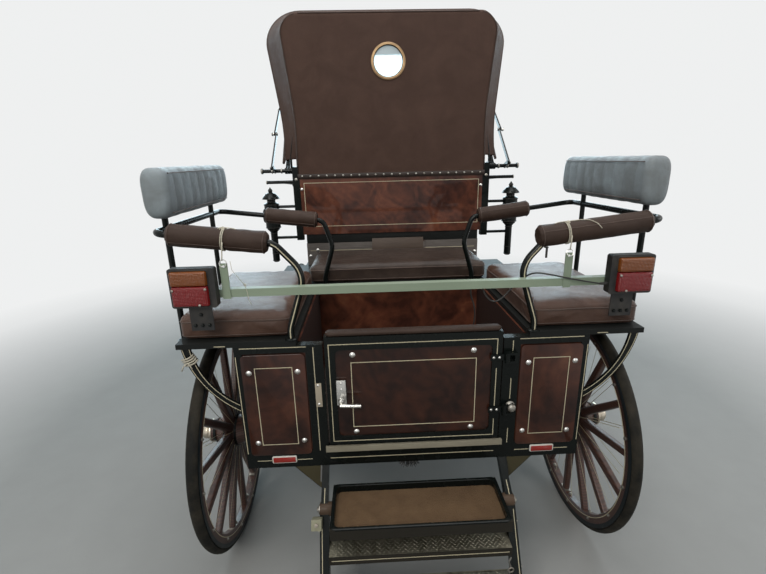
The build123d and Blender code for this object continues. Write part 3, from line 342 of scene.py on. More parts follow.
def pale_floor():
    """A grey floor that passes into the pale background away from the carriage."""
    p = Paint("pale_floor", Specular_IOR_Level=0.0, Emission_Color=PALE)
    radius = p.node("VectorMath", {0: p.place}, operation="LENGTH").outputs["Value"]
    away = p.ramp(p.math("DIVIDE", radius, 10), (0.21, 0.0), (0.30, 0.35), (0.42, 0.85), (0.50, 1.0))
    away = p.math("MULTIPLY", away, seen_rays(p.tree))
    p.feed(p.shader.inputs["Emission Strength"], away)
    grey = p.blend(p.noise(7, 6), (0.29, 0.29, 0.28), (0.325, 0.325, 0.315))
    return p.done(p.blend(away, grey, (0, 0, 0)), 0.75, (p.noise(80, 5), 0.001, 0.25))


BLACK = lacquer("black_paint", (0.0045, 0.0062, 0.0056), dusty=0.07)
MATT_BLACK = lacquer("matt_paint", (0.0075, 0.0085, 0.008), rough=0.62, dusty=0.05)
RIM_BLACK = lacquer("rim_paint", (0.012, 0.016, 0.018), rough=0.3)
CREAM = lacquer("cream_line", (0.52, 0.47, 0.33), rough=0.4, dusty=0.1)
BAR_GREEN = lacquer("bar_paint", (0.235, 0.29, 0.215), (0.30, 0.30, 0.27), 0.38, 0.4)
BEIGE = lacquer("beige_plate", (0.40, 0.35, 0.27), (0.3, 0.27, 0.2), 0.4, 0.3)
SILL = lacquer("sill_metal", (0.25, 0.23, 0.175), (0.10, 0.09, 0.06), 0.4, 0.5)
PALE_PLASTIC = lacquer("pale_plastic", (0.62, 0.60, 0.55), (0.4, 0.38, 0.33), 0.35, 0.3)
OLIVE = lacquer("olive_paint", (0.060, 0.052, 0.028), (0.10, 0.085, 0.05), 0.45, 0.4)
CLAMP = lacquer("clamp_paint", (0.26, 0.255, 0.18), (0.14, 0.12, 0.08), 0.45, 0.4)
WORN_BROWN = lacquer("worn_brown", (0.075, 0.050, 0.034), (0.12, 0.09, 0.06), 0.5, 0.4)
LAMP_TRIM = lacquer("lamp_trim", (0.020, 0.019, 0.017), (0.05, 0.045, 0.035), 0.25, 0.2)
TRAY = lacquer("tray_paint", (0.019, 0.017, 0.013), (0.07, 0.06, 0.045), 0.5, 0.35)
BURL = burl("burl", tone=0.7)
# The tub's and seat back's burl is toned lighter than the door's: painted light that makes up for the shade
# inside the tub
BURL_TUB_PAINTED_LIGHT = burl("burl_tub_painted_light", (0.9, 0.5, 0.3), 1.0, 2.1)
BURL_SEAT_PAINTED_LIGHT = burl("burl_seat_back_painted_light", (0.4, 0.2, 0.9), 2.0)
BURL_SIDE = burl("burl_quarter", (0.9, 0.5, 0.3), 1.05)
LEATHER = leather("seat_leather", (0.064, 0.032, 0.021), (0.112, 0.062, 0.043), rough=0.36)
# A darker copy of the seat leather for the bench cushion, which sits in shade: painted shade
BENCH_LEATHER_SHADED = leather("bench_leather_painted_shade", (0.028, 0.017, 0.012), (0.068, 0.045, 0.034), rough=0.36)
ROLL_LEATHER = leather("roll_leather", (0.036, 0.021, 0.015), (0.054, 0.033, 0.024), 800, 0.5, 0.0, 0.18)
# Brown leathercloth painted pale blue-grey: a painted reflection of the sky on the backrests
BACK_LEATHER_SKY_REFLECTION = leather("back_leather_painted_reflection", (0.185, 0.206, 0.214), (0.31, 0.37, 0.40), 800, 0.42)
DASH_LEATHER = leather("dash_leather", (0.010, 0.0095, 0.009), (0.022, 0.020, 0.018), 900, 0.35, 0.0)
HOOD_CLOTH = leather("hood_cloth", (0.057, 0.031, 0.0225), (0.080, 0.045, 0.033), 1300, 0.62, 0.0, 0.16)
BAND = leather("hood_band", (0.022, 0.014, 0.011), (0.040, 0.027, 0.021), 1400, 0.45, 0.0)
WELT = leather("welt", (0.040, 0.024, 0.018), (0.062, 0.040, 0.031), 1500, 0.45, 0.0)
PIPING = leather("piping", (0.060, 0.036, 0.027), (0.12, 0.08, 0.062), 1400, 0.4, 0.1)
BOARD = plain_wood("board", (0.062, 0.052, 0.046), (0.150, 0.133, 0.120), coat=0.15)
# Near-black wood for the risers inside the tub: painted shade
RISER_SHADE = plain_wood("riser_wood_painted_shade", (0.006, 0.0035, 0.003), (0.020, 0.010, 0.008), coat=0.1, rough=0.5)
BLOCK_WOOD = plain_wood("block_wood", (0.040, 0.026, 0.018), (0.080, 0.055, 0.040), coat=0.1, rough=0.5)
SPOKE_WOOD = plain_wood("wheel_wood", (0.024, 0.010, 0.007), (0.070, 0.030, 0.020), (6, 6, 6), 0.15, 0.42)
FLOOR_WOOD = plain_wood("floor_wood", (0.03, 0.022, 0.017), (0.07, 0.052, 0.04), (9, 1, 9), 0.0, 0.7)
STEEL = metal("bright_steel", (0.62, 0.61, 0.58), 0.25)
OLD_STEEL = metal("old_steel", (0.30, 0.29, 0.26), 0.42, (0.10, 0.065, 0.035), 0.8)
BRONZE = metal("bronze", (0.34, 0.23, 0.13), 0.35)
NICKEL = metal("nickel", (0.55, 0.49, 0.40), 0.28)
TREAD = metal("tread_metal", (0.27, 0.255, 0.195), 0.42, (0.07, 0.055, 0.035), 0.8)
TWINE = twine()
BLACK_RUBBER = black_rubber()
TYRE = tyre_rubber()
RED_LENS = lens("red_lens", (0.22, 0.007, 0.008))
REFLECTOR = lens("reflector_red", (0.42, 0.022, 0.014), 140)
AMBER_LENS = lens("amber_lens", (0.22, 0.060, 0.008))
WINDOW_GLASS = glass("window_glass", (0.80, 0.90, 0.93), 0.55)
LAMP_GLASS = glass("lamp_glass", (0.85, 0.9, 0.9), 0.85)
MAT = coir()

# Finish of the nodes of the source
WHEEL_NAMES = ("rear_left", "rear_right", "front_left", "front_right")
FINISH = {
    BLACK: ["chassis", "step_frame", "turntable_top", "fore_frame", "front_axle", "rear_axle",
            "front_springs", "rear_springs", "splinter_bar", "side_irons", "hood_rear_bow", "hood_mid_bow",
            "hood_front_bow", "brace_lower", "brace_upper", "seat_rails", "door_frame", "carriage_lamps"],
    MATT_BLACK: ["seat_pan", "seat_deck", "platform"],
    BLACK_RUBBER: ["tail_lamp_housings", "cable_gland", "light_cable"],
    BURL: ["door_panel"],
    BURL_TUB_PAINTED_LIGHT: ["body_panels"],
    BURL_SEAT_PAINTED_LIGHT: ["seat_back"],
    # driver_cushions take the near-black dash leather as painted shade, where the seat shows only as shadow
    DASH_LEATHER: ["dash", "driver_cushions"],
    BOARD: ["seat_box"],
    FLOOR_WOOD: ["floor"],
    BAR_GREEN: ["light_bar"],
    STEEL: ["door_latch"],
    SILL: ["sill_strip"],
    ROLL_LEATHER: ["door_top_pad", "armrest_rolls"],
    BACK_LEATHER_SKY_REFLECTION: ["backrests"],
    LEATHER: ["bench_cushions"],
    HOOD_CLOTH: ["hood_curtain", "hood_cover_rear_mid", "hood_cover_mid_front"],
    WINDOW_GLASS: ["hood_window_glass"],
    MAT: ["step_mat"],
    TRAY: ["step_treads"],
    RED_LENS: ["rear_lenses"],
    SPOKE_WOOD: ["singletree_left", "singletree_right", *(f"{wheel}_wheel" for wheel in WHEEL_NAMES)],
    TYRE: [f"{wheel}_tyre" for wheel in WHEEL_NAMES],
    RIM_BLACK: [f"{wheel}_irons" for wheel in WHEEL_NAMES],
}
for finish, names in FINISH.items():
    for name in names:
        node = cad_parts[name]
        if not node.material_slots:
            node.data.materials.append(finish)
        for slot in node.material_slots:
            slot.material = finish

# The bench risers inside the tub are painted near-black as shade, and the seat box is veneered apart from its
# rear board
SECOND_FINISH = (
    ("body_panels", RISER_SHADE, lambda face: abs(face.normal.x) > 0.7 and abs(face.center.x) < 0.45),
    ("seat_box", BURL_SEAT_PAINTED_LIGHT, lambda face: face.normal.y > -0.5),
)
for name, finish, chosen in SECOND_FINISH:
    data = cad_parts[name].data
    data.materials.append(finish)
    for face in data.polygons:
        if chosen(face):
            face.material_index = 1


# Geometry: pieces are gathered in the source's millimetres
def around(steps, point):
    """Points of point(angle) round a full turn."""
    return [point(tau * k / steps) for k in range(steps)]


def circle(radius, steps, height=0.0):
    return around(steps, lambda t: (radius * cos(t), radius * sin(t), height))


def rounded(half_w, half_h, radius, steps=6):
    """A rounded rectangle as (across, up) points, counterclockwise."""
    points, across, up = [], half_w - radius, half_h - radius
    for cx, cy, start in ((across, up, 0), (-across, up, 90), (-across, -up, 180), (across, -up, 270)):
        for k in range(steps + 1):
            a = radians(start + 90 * k / steps)
            points.append((cx + radius * cos(a), cy + radius * sin(a)))
    return points


def fillet(before, corner, after, radius, steps):
    """The arc that rounds a corner."""
    a, b = (before - corner).normalized(), (after - corner).normalized()
    half = a.angle(b) / 2
    centre = corner + (a + b).normalized() * radius / sin(half)
    start, end = (corner + side * radius / tan(half) - centre for side in (a, b))
    return [centre + start.slerp(end, k / steps) * radius for k in range(steps + 1)]


def arc_path(points, radii, steps=8):
    """Straight runs with rounded corners, as the tubes of the source have."""
    points = [Vector(p) for p in points]
    path = points[:1]
    for before, corner, after, radius in zip(points, points[1:], points[2:], radii):
        path += fillet(before, corner, after, radius, steps)
    return path + points[-1:]


def arc3(a, b, c, count=20):
    """Points of the arc through three points of a plane."""
    (ax, ay), (bx, by), (cx, cy) = a, b, c
    d = 2 * (ax * (by - cy) + bx * (cy - ay) + cx * (ay - by))
    aa, bb, cc = ax * ax + ay * ay, bx * bx + by * by, cx * cx + cy * cy
    ux = (aa * (by - cy) + bb * (cy - ay) + cc * (ay - by)) / d
    uy = (aa * (cx - bx) + bb * (ax - cx) + cc * (bx - ax)) / d
    first, last = atan2(ay - uy, ax - ux), atan2(cy - uy, cx - ux)
    turns = [first + ((last - first + pi) % tau - pi) * k / count for k in range(count + 1)]
    r = ((ax - ux) ** 2 + (ay - uy) ** 2) ** 0.5
    return [(ux + r * cos(turn), uy + r * sin(turn)) for turn in turns]


def facing(place, z_axis, x_axis=(1, 0, 0)):
    """A matrix that stands local Z along z_axis at a place."""
    z = Vector(z_axis).normalized()
    x = Vector(x_axis)
    if abs(x.normalized().dot(z)) > 0.95:
        x = Vector((0, 1, 0)) if abs(z.y) < 0.9 else Vector((0, 0, 1))
    x = (x - z * x.dot(z)).normalized()
    return Matrix.Translation(place) @ Matrix((x, z.cross(x), z)).transposed().to_4x4()


def wrinkle(p, size, seed=0.0):
    return noise.noise(Vector(p) / size + Vector((seed, seed * 1.7, -seed)))


class Shape:
    """Vertices and faces gathered for one piece."""

    def __init__(self):
        self.verts, self.faces = [], []

    def add(self, verts, faces, move=None):
        first = len(self.verts)
        self.verts += [move @ Vector(v) for v in verts] if move else verts
        self.faces += [tuple(first + i for i in face) for face in faces]
        return self

    def rings(self, rings, closed=True, ends=True, move=None):
        """A skin over rings of equal counts."""
        n, verts, faces = len(rings[0]), [v for ring in rings for v in ring], []
        for r in range(len(rings) - 1):
            for i in range(n if closed else n - 1):
                j = (i + 1) % n
                faces.append((r * n + i, r * n + j, (r + 1) * n + j, (r + 1) * n + i))
        if ends and closed:
            faces += [tuple(reversed(range(n))), tuple((len(rings) - 1) * n + i for i in range(n))]
        return self.add(verts, faces, move)

    def lathe(self, profile, move, steps=24, hollow=False):
        """Profile points are (radius, height) about the local Z axis; a hollow one is a closed ring."""
        rings = [circle(r, steps, h) for r, h in profile]
        return self.rings(rings + rings[:1] if hollow else rings, ends=not hollow, move=move)

    def nut(self, move, wide, thick, pin, shoulder, tip, top, steps=6):
        """A nut with the end of its bolt."""
        return self.lathe([(wide, 0), (wide, thick), (pin, shoulder), (pin, tip), (0.1, top)], move, steps)

    def sweep(self, points, radius, steps=8, closed=False, hint=UPWARD, move=Matrix()):
        """A tube along points."""
        points = [move @ Vector(p) for p in points]
        section, rings, side = circle(radius, steps), [], Vector(hint)
        for i, p in enumerate(points):
            before = points[i - 1] if i or closed else p
            after = points[(i + 1) % len(points)] if i < len(points) - 1 or closed else p
            along = (after - before).normalized()
            side = (side - along * side.dot(along)).normalized()
            other = along.cross(side)
            rings.append([p + other * u + side * v for u, v, _ in section])
        return self.rings(rings + rings[:1] if closed else rings, ends=not closed)

    def ribbon(self, points, normal, width, height=0.5, closed=False):
        """A flat painted or applied strip on a face, mitred at its corners."""
        points, normal = [Vector(p) for p in points], Vector(normal).normalized()
        count, rings = len(points), []
        for i, p in enumerate(points):
            before = (p - points[i - 1]).normalized() if i or closed else None
            after = (points[(i + 1) % count] - p).normalized() if i < count - 1 or closed else None
            sides = [normal.cross(d) for d in (before, after) if d]
            side = sum(sides, Vector()) / len(sides)
            side = side / max(side.length_squared, 0.2)
            a, b = p - side * width / 2, p + side * width / 2
            rings.append([a, b, b + normal * height, a + normal * height])
        return self.rings(rings + rings[:1] if closed else rings, ends=not closed)

    def block(self, low, high, bevel=1.0, move=None):
        """A block between two corners with chamfered edges."""
        low, high = Vector(low), Vector(high)
        work = bmesh.new()
        bmesh.ops.create_cube(work, size=1)
        for v in work.verts:
            v.co = (low + high) / 2 + v.co * (high - low)
        inset = min(bevel, *((high - low) * 0.45))
        bmesh.ops.bevel(work, geom=work.edges[:], offset=inset, segments=2, profile=0.6, affect="EDGES")
        work.verts.index_update()
        self.add([v.co.copy() for v in work.verts], [[v.index for v in f.verts] for f in work.faces], move)
        work.free()
        return self

    def make(self, name, material, body="carriage", angle=40):
        mesh = bpy.data.meshes.new(name)
        mesh.from_pydata([at(v) for v in self.verts], [], self.faces)
        work = bmesh.new()
        work.from_mesh(mesh)
        bmesh.ops.recalc_face_normals(work, faces=work.faces)
        work.to_mesh(mesh)
        work.free()
        mesh.materials.append(material)
        mesh.polygons.foreach_set("use_smooth", [True] * len(mesh.polygons))
        mesh.set_sharp_from_angle(angle=radians(angle))
        obj = linked(name, mesh)
        if body:
            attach(obj, body)
        return obj


def bake(obj):
    """Applies the modifiers of an object to its mesh."""
    bpy.context.view_layer.update()
    shape = obj.evaluated_get(bpy.context.evaluated_depsgraph_get())
    mesh = bpy.data.meshes.new_from_object(shape)
    obj.modifiers.clear()
    obj.data = mesh


def thicken(obj, offset):
    """Gives a cloth its thickness."""
    thick = obj.modifiers.new("thick", "SOLIDIFY")
    thick.thickness, thick.offset = 0.0028, offset
    bake(obj)


# Hood cloth; a leg is its foot, waist and top as (half width, distance from the pivot or height)
PIVOT_Y, PIVOT_Z, FOOT = 1150, 1510, 60
COVER_OUT, FOLD = 19, 20
WAIST_BEND, REAR_CORNER = 1400, 100
CURTAIN_Y, CURTAIN_LOW, CURTAIN_TOP = 1084, 1466, 2264
REAR_LEG = ((512, PIVOT_Z + FOOT), (506, 1756), (562, CURTAIN_TOP))


def hood_curve(leg, corner):
    """Half of the hood's outline from its foot to the middle of its top, as evenly matched points."""
    foot, waist, top = (Vector((*p, 0)) for p in leg)
    middle = Vector((0, top.y, 0))
    runs, start = [], foot
    bends = ((foot, waist, top, WAIST_BEND, 8), (waist, top, middle, corner, 12))
    for bend, straight in zip(bends, (6, 14)):
        arc = fillet(*bend)
        runs += [start.lerp(arc[0], k / straight) for k in range(straight)] + arc[:-1]
        start = arc[-1]
    runs += [start.lerp(middle, k / 12) for k in range(13)]
    return [(p.x, p.y) for p in runs]


def whole(curve, lift):
    """Both halves of an outline, raised into the scene by lift(x, distance)."""
    return [Vector(lift(-x, d)) for x, d in curve] + [Vector(lift(x, d)) for x, d in reversed(curve[:-1])]


def bow_line(angle, corner, foot, waist, top):
    """Outline of the cloth over a bow that leans by an angle."""
    leg = [(x + COVER_OUT, d + rise) for (x, d), rise in zip((foot, waist, top), (0, 0, COVER_OUT))]
    curve = hood_curve(leg, corner + COVER_OUT)
    across, high = cos(radians(angle)), sin(radians(angle))
    return whole(curve, lambda x, d: (x, PIVOT_Y + d * across, PIVOT_Z + d * high))


curve = hood_curve(REAR_LEG, REAR_CORNER)
rear_line = whole(curve, lambda x, z: (x, CURTAIN_Y + FOLD, z))
mid_line = bow_line(70, 170, (563, FOOT), (566, 235), (690, 900))
front_line = bow_line(43, 130, (578, FOOT), (584, 300), (650, 1080))

# Covers stretched between two bows: they sag a little, and creases run from bow to bow
# name, outlines, replaced node, bodies, outer bow, angle of the pleat, sag, seed, length when flat
COVERS = (
    ("hood_cloth_rear", rear_line, mid_line, "hood_cover_rear_mid",
     ("hood_rear", "hood_mid"), "hood_rear_bow", 83, 7, 3.1, 0.36),
    ("hood_cloth_front", mid_line, front_line, "hood_cover_mid_front",
     ("hood_mid", "hood_front"), "hood_front_bow", 56.5, 9, 7.7, 0.5),
)
for name, first, last, node, bodies, bow, pleat, sag, seed, length in COVERS:
    rings, count = [], len(first)
    for s in range(27):
        t, ring = s / 26, []
        slack = sin(pi * t)
        for i in range(count):
            p = first[i].lerp(last[i], t)
            inward = Vector((-p.x, 0, 1750 - p.z)).normalized()
            high = max(0.0, 1 - abs(i / (count - 1) - 0.5) * 3.0)
            drop = sag * (0.35 + 0.65 * high) * slack
            drop += 3.0 * wrinkle((p.x, (p.y + REAR_FACE) * 2.2, p.z), 160, seed) * slack ** 0.5
            ring.append(p + inward * drop)
        rings.append(ring)
    cloth = Shape().rings(rings, closed=False).make(name, HOOD_CLOTH, None, 60)
    thicken(cloth, -1)
    centre = at((0, PIVOT_Y, PIVOT_Z))
    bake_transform(cloth)
    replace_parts(cloth, node)

# Rear curtain with a rounded fold at its edge, and the window's opening
WINDOW = Vector((-9, CURTAIN_Y, 2035))


def curtain_half(z):
    """Half of the curtain's width at a height."""
    foot_x, foot_z = curve[0]
    if z <= foot_z:
        return 512.6 + (foot_x - 512.6) * (z - CURTAIN_LOW) / (foot_z - CURTAIN_LOW)
    (x0, z0), (x1, z1) = next((a, b) for a, b in zip(curve, curve[1:]) if z <= b[1])
    return x0 + (x1 - x0) * (z - z0) / (z1 - z0)


rings = []
for r in range(97):
    z = CURTAIN_LOW + (CURTAIN_TOP - 0.1 - CURTAIN_LOW) * (1 - (1 - r / 96) ** 1.25)
    half, ring = curtain_half(z), []
    for c in range(97):
        across = c / 48 - 1
        x = half * (sin(pi / 2 * across) * 0.35 + across * 0.65)
        edge = min(half - abs(x), CURTAIN_TOP - z)
        fold = FOLD - (FOLD ** 2 - max(0.0, FOLD - edge) ** 2) ** 0.5
        taut = min(1, edge / 120) * min(1, (z - CURTAIN_LOW) / 150)
        soft = 2.6 * wrinkle((x, 0, z / 2.5), 140, 1.3) + 1.2 * wrinkle((x * 2.5, 0, z / 4), 120, 5.0)
        ring.append((x, CURTAIN_Y + fold + taut * soft, z))
    rings.append(ring)
curtain = Shape().rings(rings, closed=False).make("hood_cloth_curtain", HOOD_CLOTH, None, 60)
work = bmesh.new()
work.from_mesh(curtain.data)
centre = at(WINDOW)


def from_window(v):
    return ((v.co.x - centre.x) ** 2 + (v.co.z - centre.z) ** 2) ** 0.5


hole = [f for f in work.faces if all(from_window(v) < 0.083 for v in f.verts)]
bmesh.ops.delete(work, geom=hole, context="FACES")
for v in work.verts:
    away = from_window(v)
    if v.is_boundary and 0 < away < 0.1:
        v.co.x = centre.x + (v.co.x - centre.x) * 0.081 / away
        v.co.z = centre.z + (v.co.z - centre.z) * 0.081 / away
work.to_mesh(curtain.data)
work.free()
thicken(curtain, 0)
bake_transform(curtain)
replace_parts(curtain, "hood_curtain")

# Cable of the tail lamps, along the route of its solid
CABLE_LOOP = (
    (590, -43.3, 1165), (530, -41, 1176), (474, -37, 1188), (430, -28, 1197), (396, -6, 1198),
    (382, 20, 1185), (361, 37, 1163), (333, 36, 1134), (306, 24, 1110), (280, 14, 1097), (257, 10, 1100),
    (241, 9, 1117), (231, 9, 1136), (226, 10, 1155), (222.6, 11, 1165.6), (213.6, 12, 1172),
    (202.4, 14, 1172), (193.4, 15, 1165.6), (190, 17, 1155), (191, 20, 1135), (196, 26, 1109),
    (208, 33, 1082.2), (215, 38, 1039.7), (208, 41, 991.1), (210, 43, 936.5), (221, 45, 875.8),
    (221, 47, 809), (212, 50, 742.2), (215, 55, 675.5), (223, 60, 614.8), (225, 62, 572.3), (225, 62, 548),
)
data = bpy.data.curves.new("lamp_cable", "CURVE")
data.dimensions = "3D"
data.bevel_depth = 0.0025
data.bevel_resolution = 4
data.resolution_u = 6
spline = data.splines.new("NURBS")
spline.points.add(len(CABLE_LOOP) - 1)
for point, place in zip(spline.points, CABLE_LOOP):
    point.co = (*at(place), 1)
spline.order_u = 3
spline.use_endpoint_u = True
data.materials.append(BLACK_RUBBER)
cable = linked("lamp_cable", data)
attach(cable, "carriage")
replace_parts(cable, "light_cable")


# Cushions
def pad(name, low, high, material, corner=30, edge=20, crown=9, voxel=0.008, cap=6, welts=(), seed=0.0,
        node="bench_cushions"):
    """A stuffed pad between two corners, flat below, crowned above, with sides that pull in."""
    low, high = Vector(low), Vector(high)
    size, middle = high - low, (high + low) / 2
    levels = [(0, edge * 0.45), (edge * 0.45, 0), (size.z * 0.5, 0)]
    for k in range(7):
        a = radians(15 * k)
        levels.append((size.z - edge + edge * sin(a), edge - edge * cos(a)))
    rings = []
    for z, inset in levels:
        wide, deep = 1 - 2 * inset / size.x, 1 - 2 * inset / size.y
        rings.append([(middle.x + u * wide, middle.y + v * deep, low.z + z)
                      for u, v in rounded(size.x / 2, size.y / 2, corner, 8)])
    obj = Shape().rings(rings).make(name, material, None)
    remesh = obj.modifiers.new("remesh", "REMESH")
    remesh.mode, remesh.voxel_size = "VOXEL", voxel
    bake(obj)
    for v in obj.data.vertices:
        u, w, h = ((v.co - at(middle)) * 2000)[:]
        u, w, h = u / size.x, w / size.y, h / size.z
        belly = max(0, 1 - u ** 4) * max(0, 1 - w ** 4)
        side_x = max(0, 1 - w * w) * (1 - abs(h) ** 3) * min(1, max(0, abs(u) - 0.6) / 0.4)
        side_y = max(0, 1 - u * u) * (1 - abs(h) ** 3) * min(1, max(0, abs(w) - 0.6) / 0.4)
        soft = wrinkle(v.co, 0.11, seed) * 2.2 + wrinkle(v.co, 0.045, seed + 4)
        if h > -0.9:
            v.co.x -= copysign(0.005, u) * side_x
            v.co.y -= copysign(0.005, w) * side_y
        if h > 0:
            v.co.z += (crown * belly * (1 - 0.5 * belly) * 1.4 - 2.5 + soft) * h / 1000
    swell(obj, cap)
    smooth = obj.modifiers.new("subdivide", "SUBSURF")
    smooth.levels = smooth.render_levels = 1
    bake(obj)
    sew(obj, welts)
    obj.data.polygons.foreach_set("use_smooth", [True] * len(obj.data.polygons))
    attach(obj, "carriage")
    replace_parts(obj, node)
    return obj


def swell(obj, cap):
    """Blows the pad up a little as cloth, and keeps each point within cap millimetres of where it was."""
    before = [v.co.copy() for v in obj.data.vertices]
    cloth = obj.modifiers.new("cloth", "CLOTH")
    cloth.settings.use_pressure = True
    cloth.settings.uniform_pressure_force = 4
    cloth.settings.effector_weights.gravity = 0
    cloth.settings.quality = 3
    cloth.point_cache.frame_start, cloth.point_cache.frame_end = 1, 20
    for frame_number in range(1, 16):
        scene.frame_set(frame_number)
    bake(obj)
    scene.frame_set(1)
    floor_z = min(p.z for p in before)
    for v, p in zip(obj.data.vertices, before):
        step = v.co - p
        if step.length > cap / 1000:
            v.co = p + step.normalized() * cap / 1000
        v.co.z = max(v.co.z, floor_z)


def sew(obj, lines, width=0.006, depth=0.0035):
    """Pulls the surface in along sewn lines."""
    points = [at(p) for line in lines for p in line]
    tree = kdtree.KDTree(len(points))
    for number, p in enumerate(points):
        tree.insert(p, number)
    tree.balance()
    normals = [v.normal.copy() for v in obj.data.vertices]
    for v, n in zip(obj.data.vertices, normals):
        away = tree.find(v.co)[2]
        if away < width * 3:
            v.co -= n * depth * exp(-(away / width) ** 2)


def line_on(points, step=3):
    """The points of a run of straight lines, a few millimetres apart."""
    out = []
    for a, b in zip(points, points[1:]):
        a, b = Vector(a), Vector(b)
        count = max(1, int((b - a).length / step))
        out += [a.lerp(b, k / count) for k in range(count)]
    return out + [Vector(points[-1])]


def loop_at(low, high, z, inset, corner):
    """A rounded rectangle round a pad at a height."""
    cx, cy = (low[0] + high[0]) / 2, (low[1] + high[1]) / 2
    plan = rounded((high[0] - low[0]) / 2 - inset, (high[1] - low[1]) / 2 - inset, corner, 8)
    return [(cx + u, cy + v, z) for u, v in plan]


def piping(name, obj, loop, radius=2.8):
    """A cord sewn into a seam, laid on the pad's own surface."""
    laid = []
    for p in line_on(loop + loop[:1], 8)[:-1]:
        _, place, normal, _ = obj.closest_point_on_mesh(at(p))
        laid.append(place * 1000 - Vector((0, REAR_FACE, 0)) + normal * radius * 0.35)
    for _ in range(2):
        laid = [(a + b * 2 + c) / 4 for a, b, c in zip(laid[-1:] + laid, laid, laid[1:] + laid[:1])]
    Shape().sweep(laid, radius, 7, closed=True).make(name, PIPING, angle=180)


# name, low and high corner, finish
PADS = (
    ("side_cushion_left", (-790, 28, 989.3), (-407, 642, 1072), LEATHER),
    ("side_cushion_right", (407, 28, 989.3), (790, 642, 1072), LEATHER),
    ("bench_cushion", (-435, 684, 989.3), (435, 1070, 1072), BENCH_LEATHER_SHADED),
)
for name, low, high, finish in PADS:
    welts = [loop_at(low, high, z, 0, 30) for z in (1054, 1001)]
    cushion = pad(name, low, high, finish, welts=welts, seed=low[0] * 0.01)
    piping(name + "_piping", cushion, loop_at(low, high, 1054, -3, 30))
    piping(name + "_lower_piping", cushion, loop_at(low, high, 1001, -3, 30), 2.2)

# name, low and high corner, crown, cap, places of the sewn channels
DRIVER_PADS = (
    ("driver_seat_cushion", (-500, 1110, 1181.3), (500, 1545, 1272), 12, 6, ()),
    ("driver_back_cushion", (-488, 1110, 1277), (488, 1188, 1497), 2, 5, range(-390, 391, 130)),
)
for name, low, high, crown, cap, channels in DRIVER_PADS:
    seam_z = high[2] - 20
    welts = [loop_at(low, high, seam_z, 0, 24)]
    welts += [line_on([(x, 1188, 1292), (x, 1188, 1482)]) for x in channels]
    cushion = pad(name, low, high, LEATHER, 24, 18, crown, 0.009, cap, welts, crown, "driver_cushions")
    piping(name + "_piping", cushion, loop_at(low, high, seam_z, -3, 24))

# Armrest rolls: leather drawn round the rail, gathered at the ends
# side, number, start, end, where a tie grips it (share)
ROLLS = (
    (1, 0, (400, 13, 1311.8), (760, 13, 1352.2), 0.25),
    (-1, 0, (457, 13, 1318.2), (760, 13, 1352.2), 0.42),
    (1, 1, (370, 655, 1300), (603, 655, 1327.9), None),
    (-1, 1, (370, 655, 1300), (603, 655, 1327.9), None),
)
ROLL_R = 35
for side, number, start, end, grip in ROLLS:
    a, b = (Vector((side * x, y, z)) for x, y, z in (start, end))
    place, length = facing(a, b - a, (0, 1, 0)), (b - a).length
    stations = [0, 1.5, 4, 8] + [14 + (length - 28) * k / 44 for k in range(44)]
    stations += [length - s for s in (14, 8, 4, 1.5, 0)]
    rings = []
    for s in stations:
        gap = min(s, length - s)
        radius = ROLL_R - 8.5 * max(0, 1 - gap / 14) ** 2.2
        if grip:
            radius -= 3 * exp(-((s - grip * length) / 7) ** 2)
        ring = []
        for x, y, _ in circle(30, 40):
            ridge = 0.8 * sin(atan2(y, x) * 9 + 2) * max(0, 1 - gap / 50)
            ridge += 1.2 * wrinkle((s, x, y), 35, side + number)
            ring.append(((radius + ridge) * x / 30, (radius + ridge) * y / 30, s))
        rings.append(ring)
    for radius, sunk in ((20, 0.4), (13, 1)):
        rings = [circle(radius, 40, sunk), *rings, circle(radius, 40, length - sunk)]
    label = dict(SIDES)[side]
    roll = Shape().rings(rings, move=place).make(f"armrest_roll_{number}_{label}", ROLL_LEATHER, angle=70)
    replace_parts(roll, "armrest_rolls")
    x, y = ROLL_R * cos(2.6), ROLL_R * sin(2.6)
    seam = Shape().sweep([(x, y, 12 + (length - 24) * k / 30) for k in range(31)], 1.3, 6, move=place)
    for s in (10, length - 10):
        seam.sweep(circle(34.7, 28, s), 1.7, 6, closed=True, move=place)
    seam.make(roll.name + "_seams", PIPING)

# Backrests: vertical channels between two piped edges
for side, label in SIDES:
    rings = []
    for k in range(161):
        y = 62 + 626 * k / 160
        end = 1 - max(0, 1 - min(y - 62, 688 - y) / 26) ** 2
        stuffed = 3.0 * abs(sin(pi * k / 160 * 9)) ** 0.8 - 2.6
        wide = (44 + stuffed) * (0.55 + 0.45 * end ** 0.5)
        high = (80 + stuffed * 0.3) * (0.62 + 0.38 * end ** 0.5)
        ring = []
        for cx, cz, _ in circle(1, 40):
            x, z = copysign(abs(cx) ** 0.625 * wide, cx), copysign(abs(cz) ** 0.625 * high, cz)
            soft = 1.5 * wrinkle((x, y, z), 60, side * 3)
            ring.append((side * 807 + x + soft, y, 1472 + z + soft))
        rings.append(ring)
    backrest = Shape().rings(rings).make(f"backrest_{label}_leather", BACK_LEATHER_SKY_REFLECTION, angle=75)
    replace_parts(backrest, "backrests")
    seam = Shape()
    for x, z in ((767, 1410), (765.5, 1534)):
        seam.sweep([(side * x, 92 + 566 * k / 60, z) for k in range(61)], 2, 6)
    seam.make(backrest.name + "_seams", PIPING)

# Padded top rail of the door
rings = []
for k in range(61):
    x = -297 + 594 * k / 60
    tight = 1 - max(0, 1 - min(x + 297, 297 - x) / 9) ** 2 * 0.5
    ring = []
    for u, v, _ in circle(1, 20):
        y = 11 + copysign(abs(u) ** 0.55 * 18.6 * tight, u)
        z = 1006.6 + copysign(abs(v) ** 0.7 * (8.2 if v > 0 else 8.0) * tight, v)
        z += 0.7 * wrinkle((x, y, 0), 50, 2) * (v > 0)
        ring.append((x, y, max(z, 998.5)))
    rings.append(ring)
door_pad = Shape().rings(rings).make("door_rail_pad", ROLL_LEATHER, "door", 70)
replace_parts(door_pad, "door_top_pad")

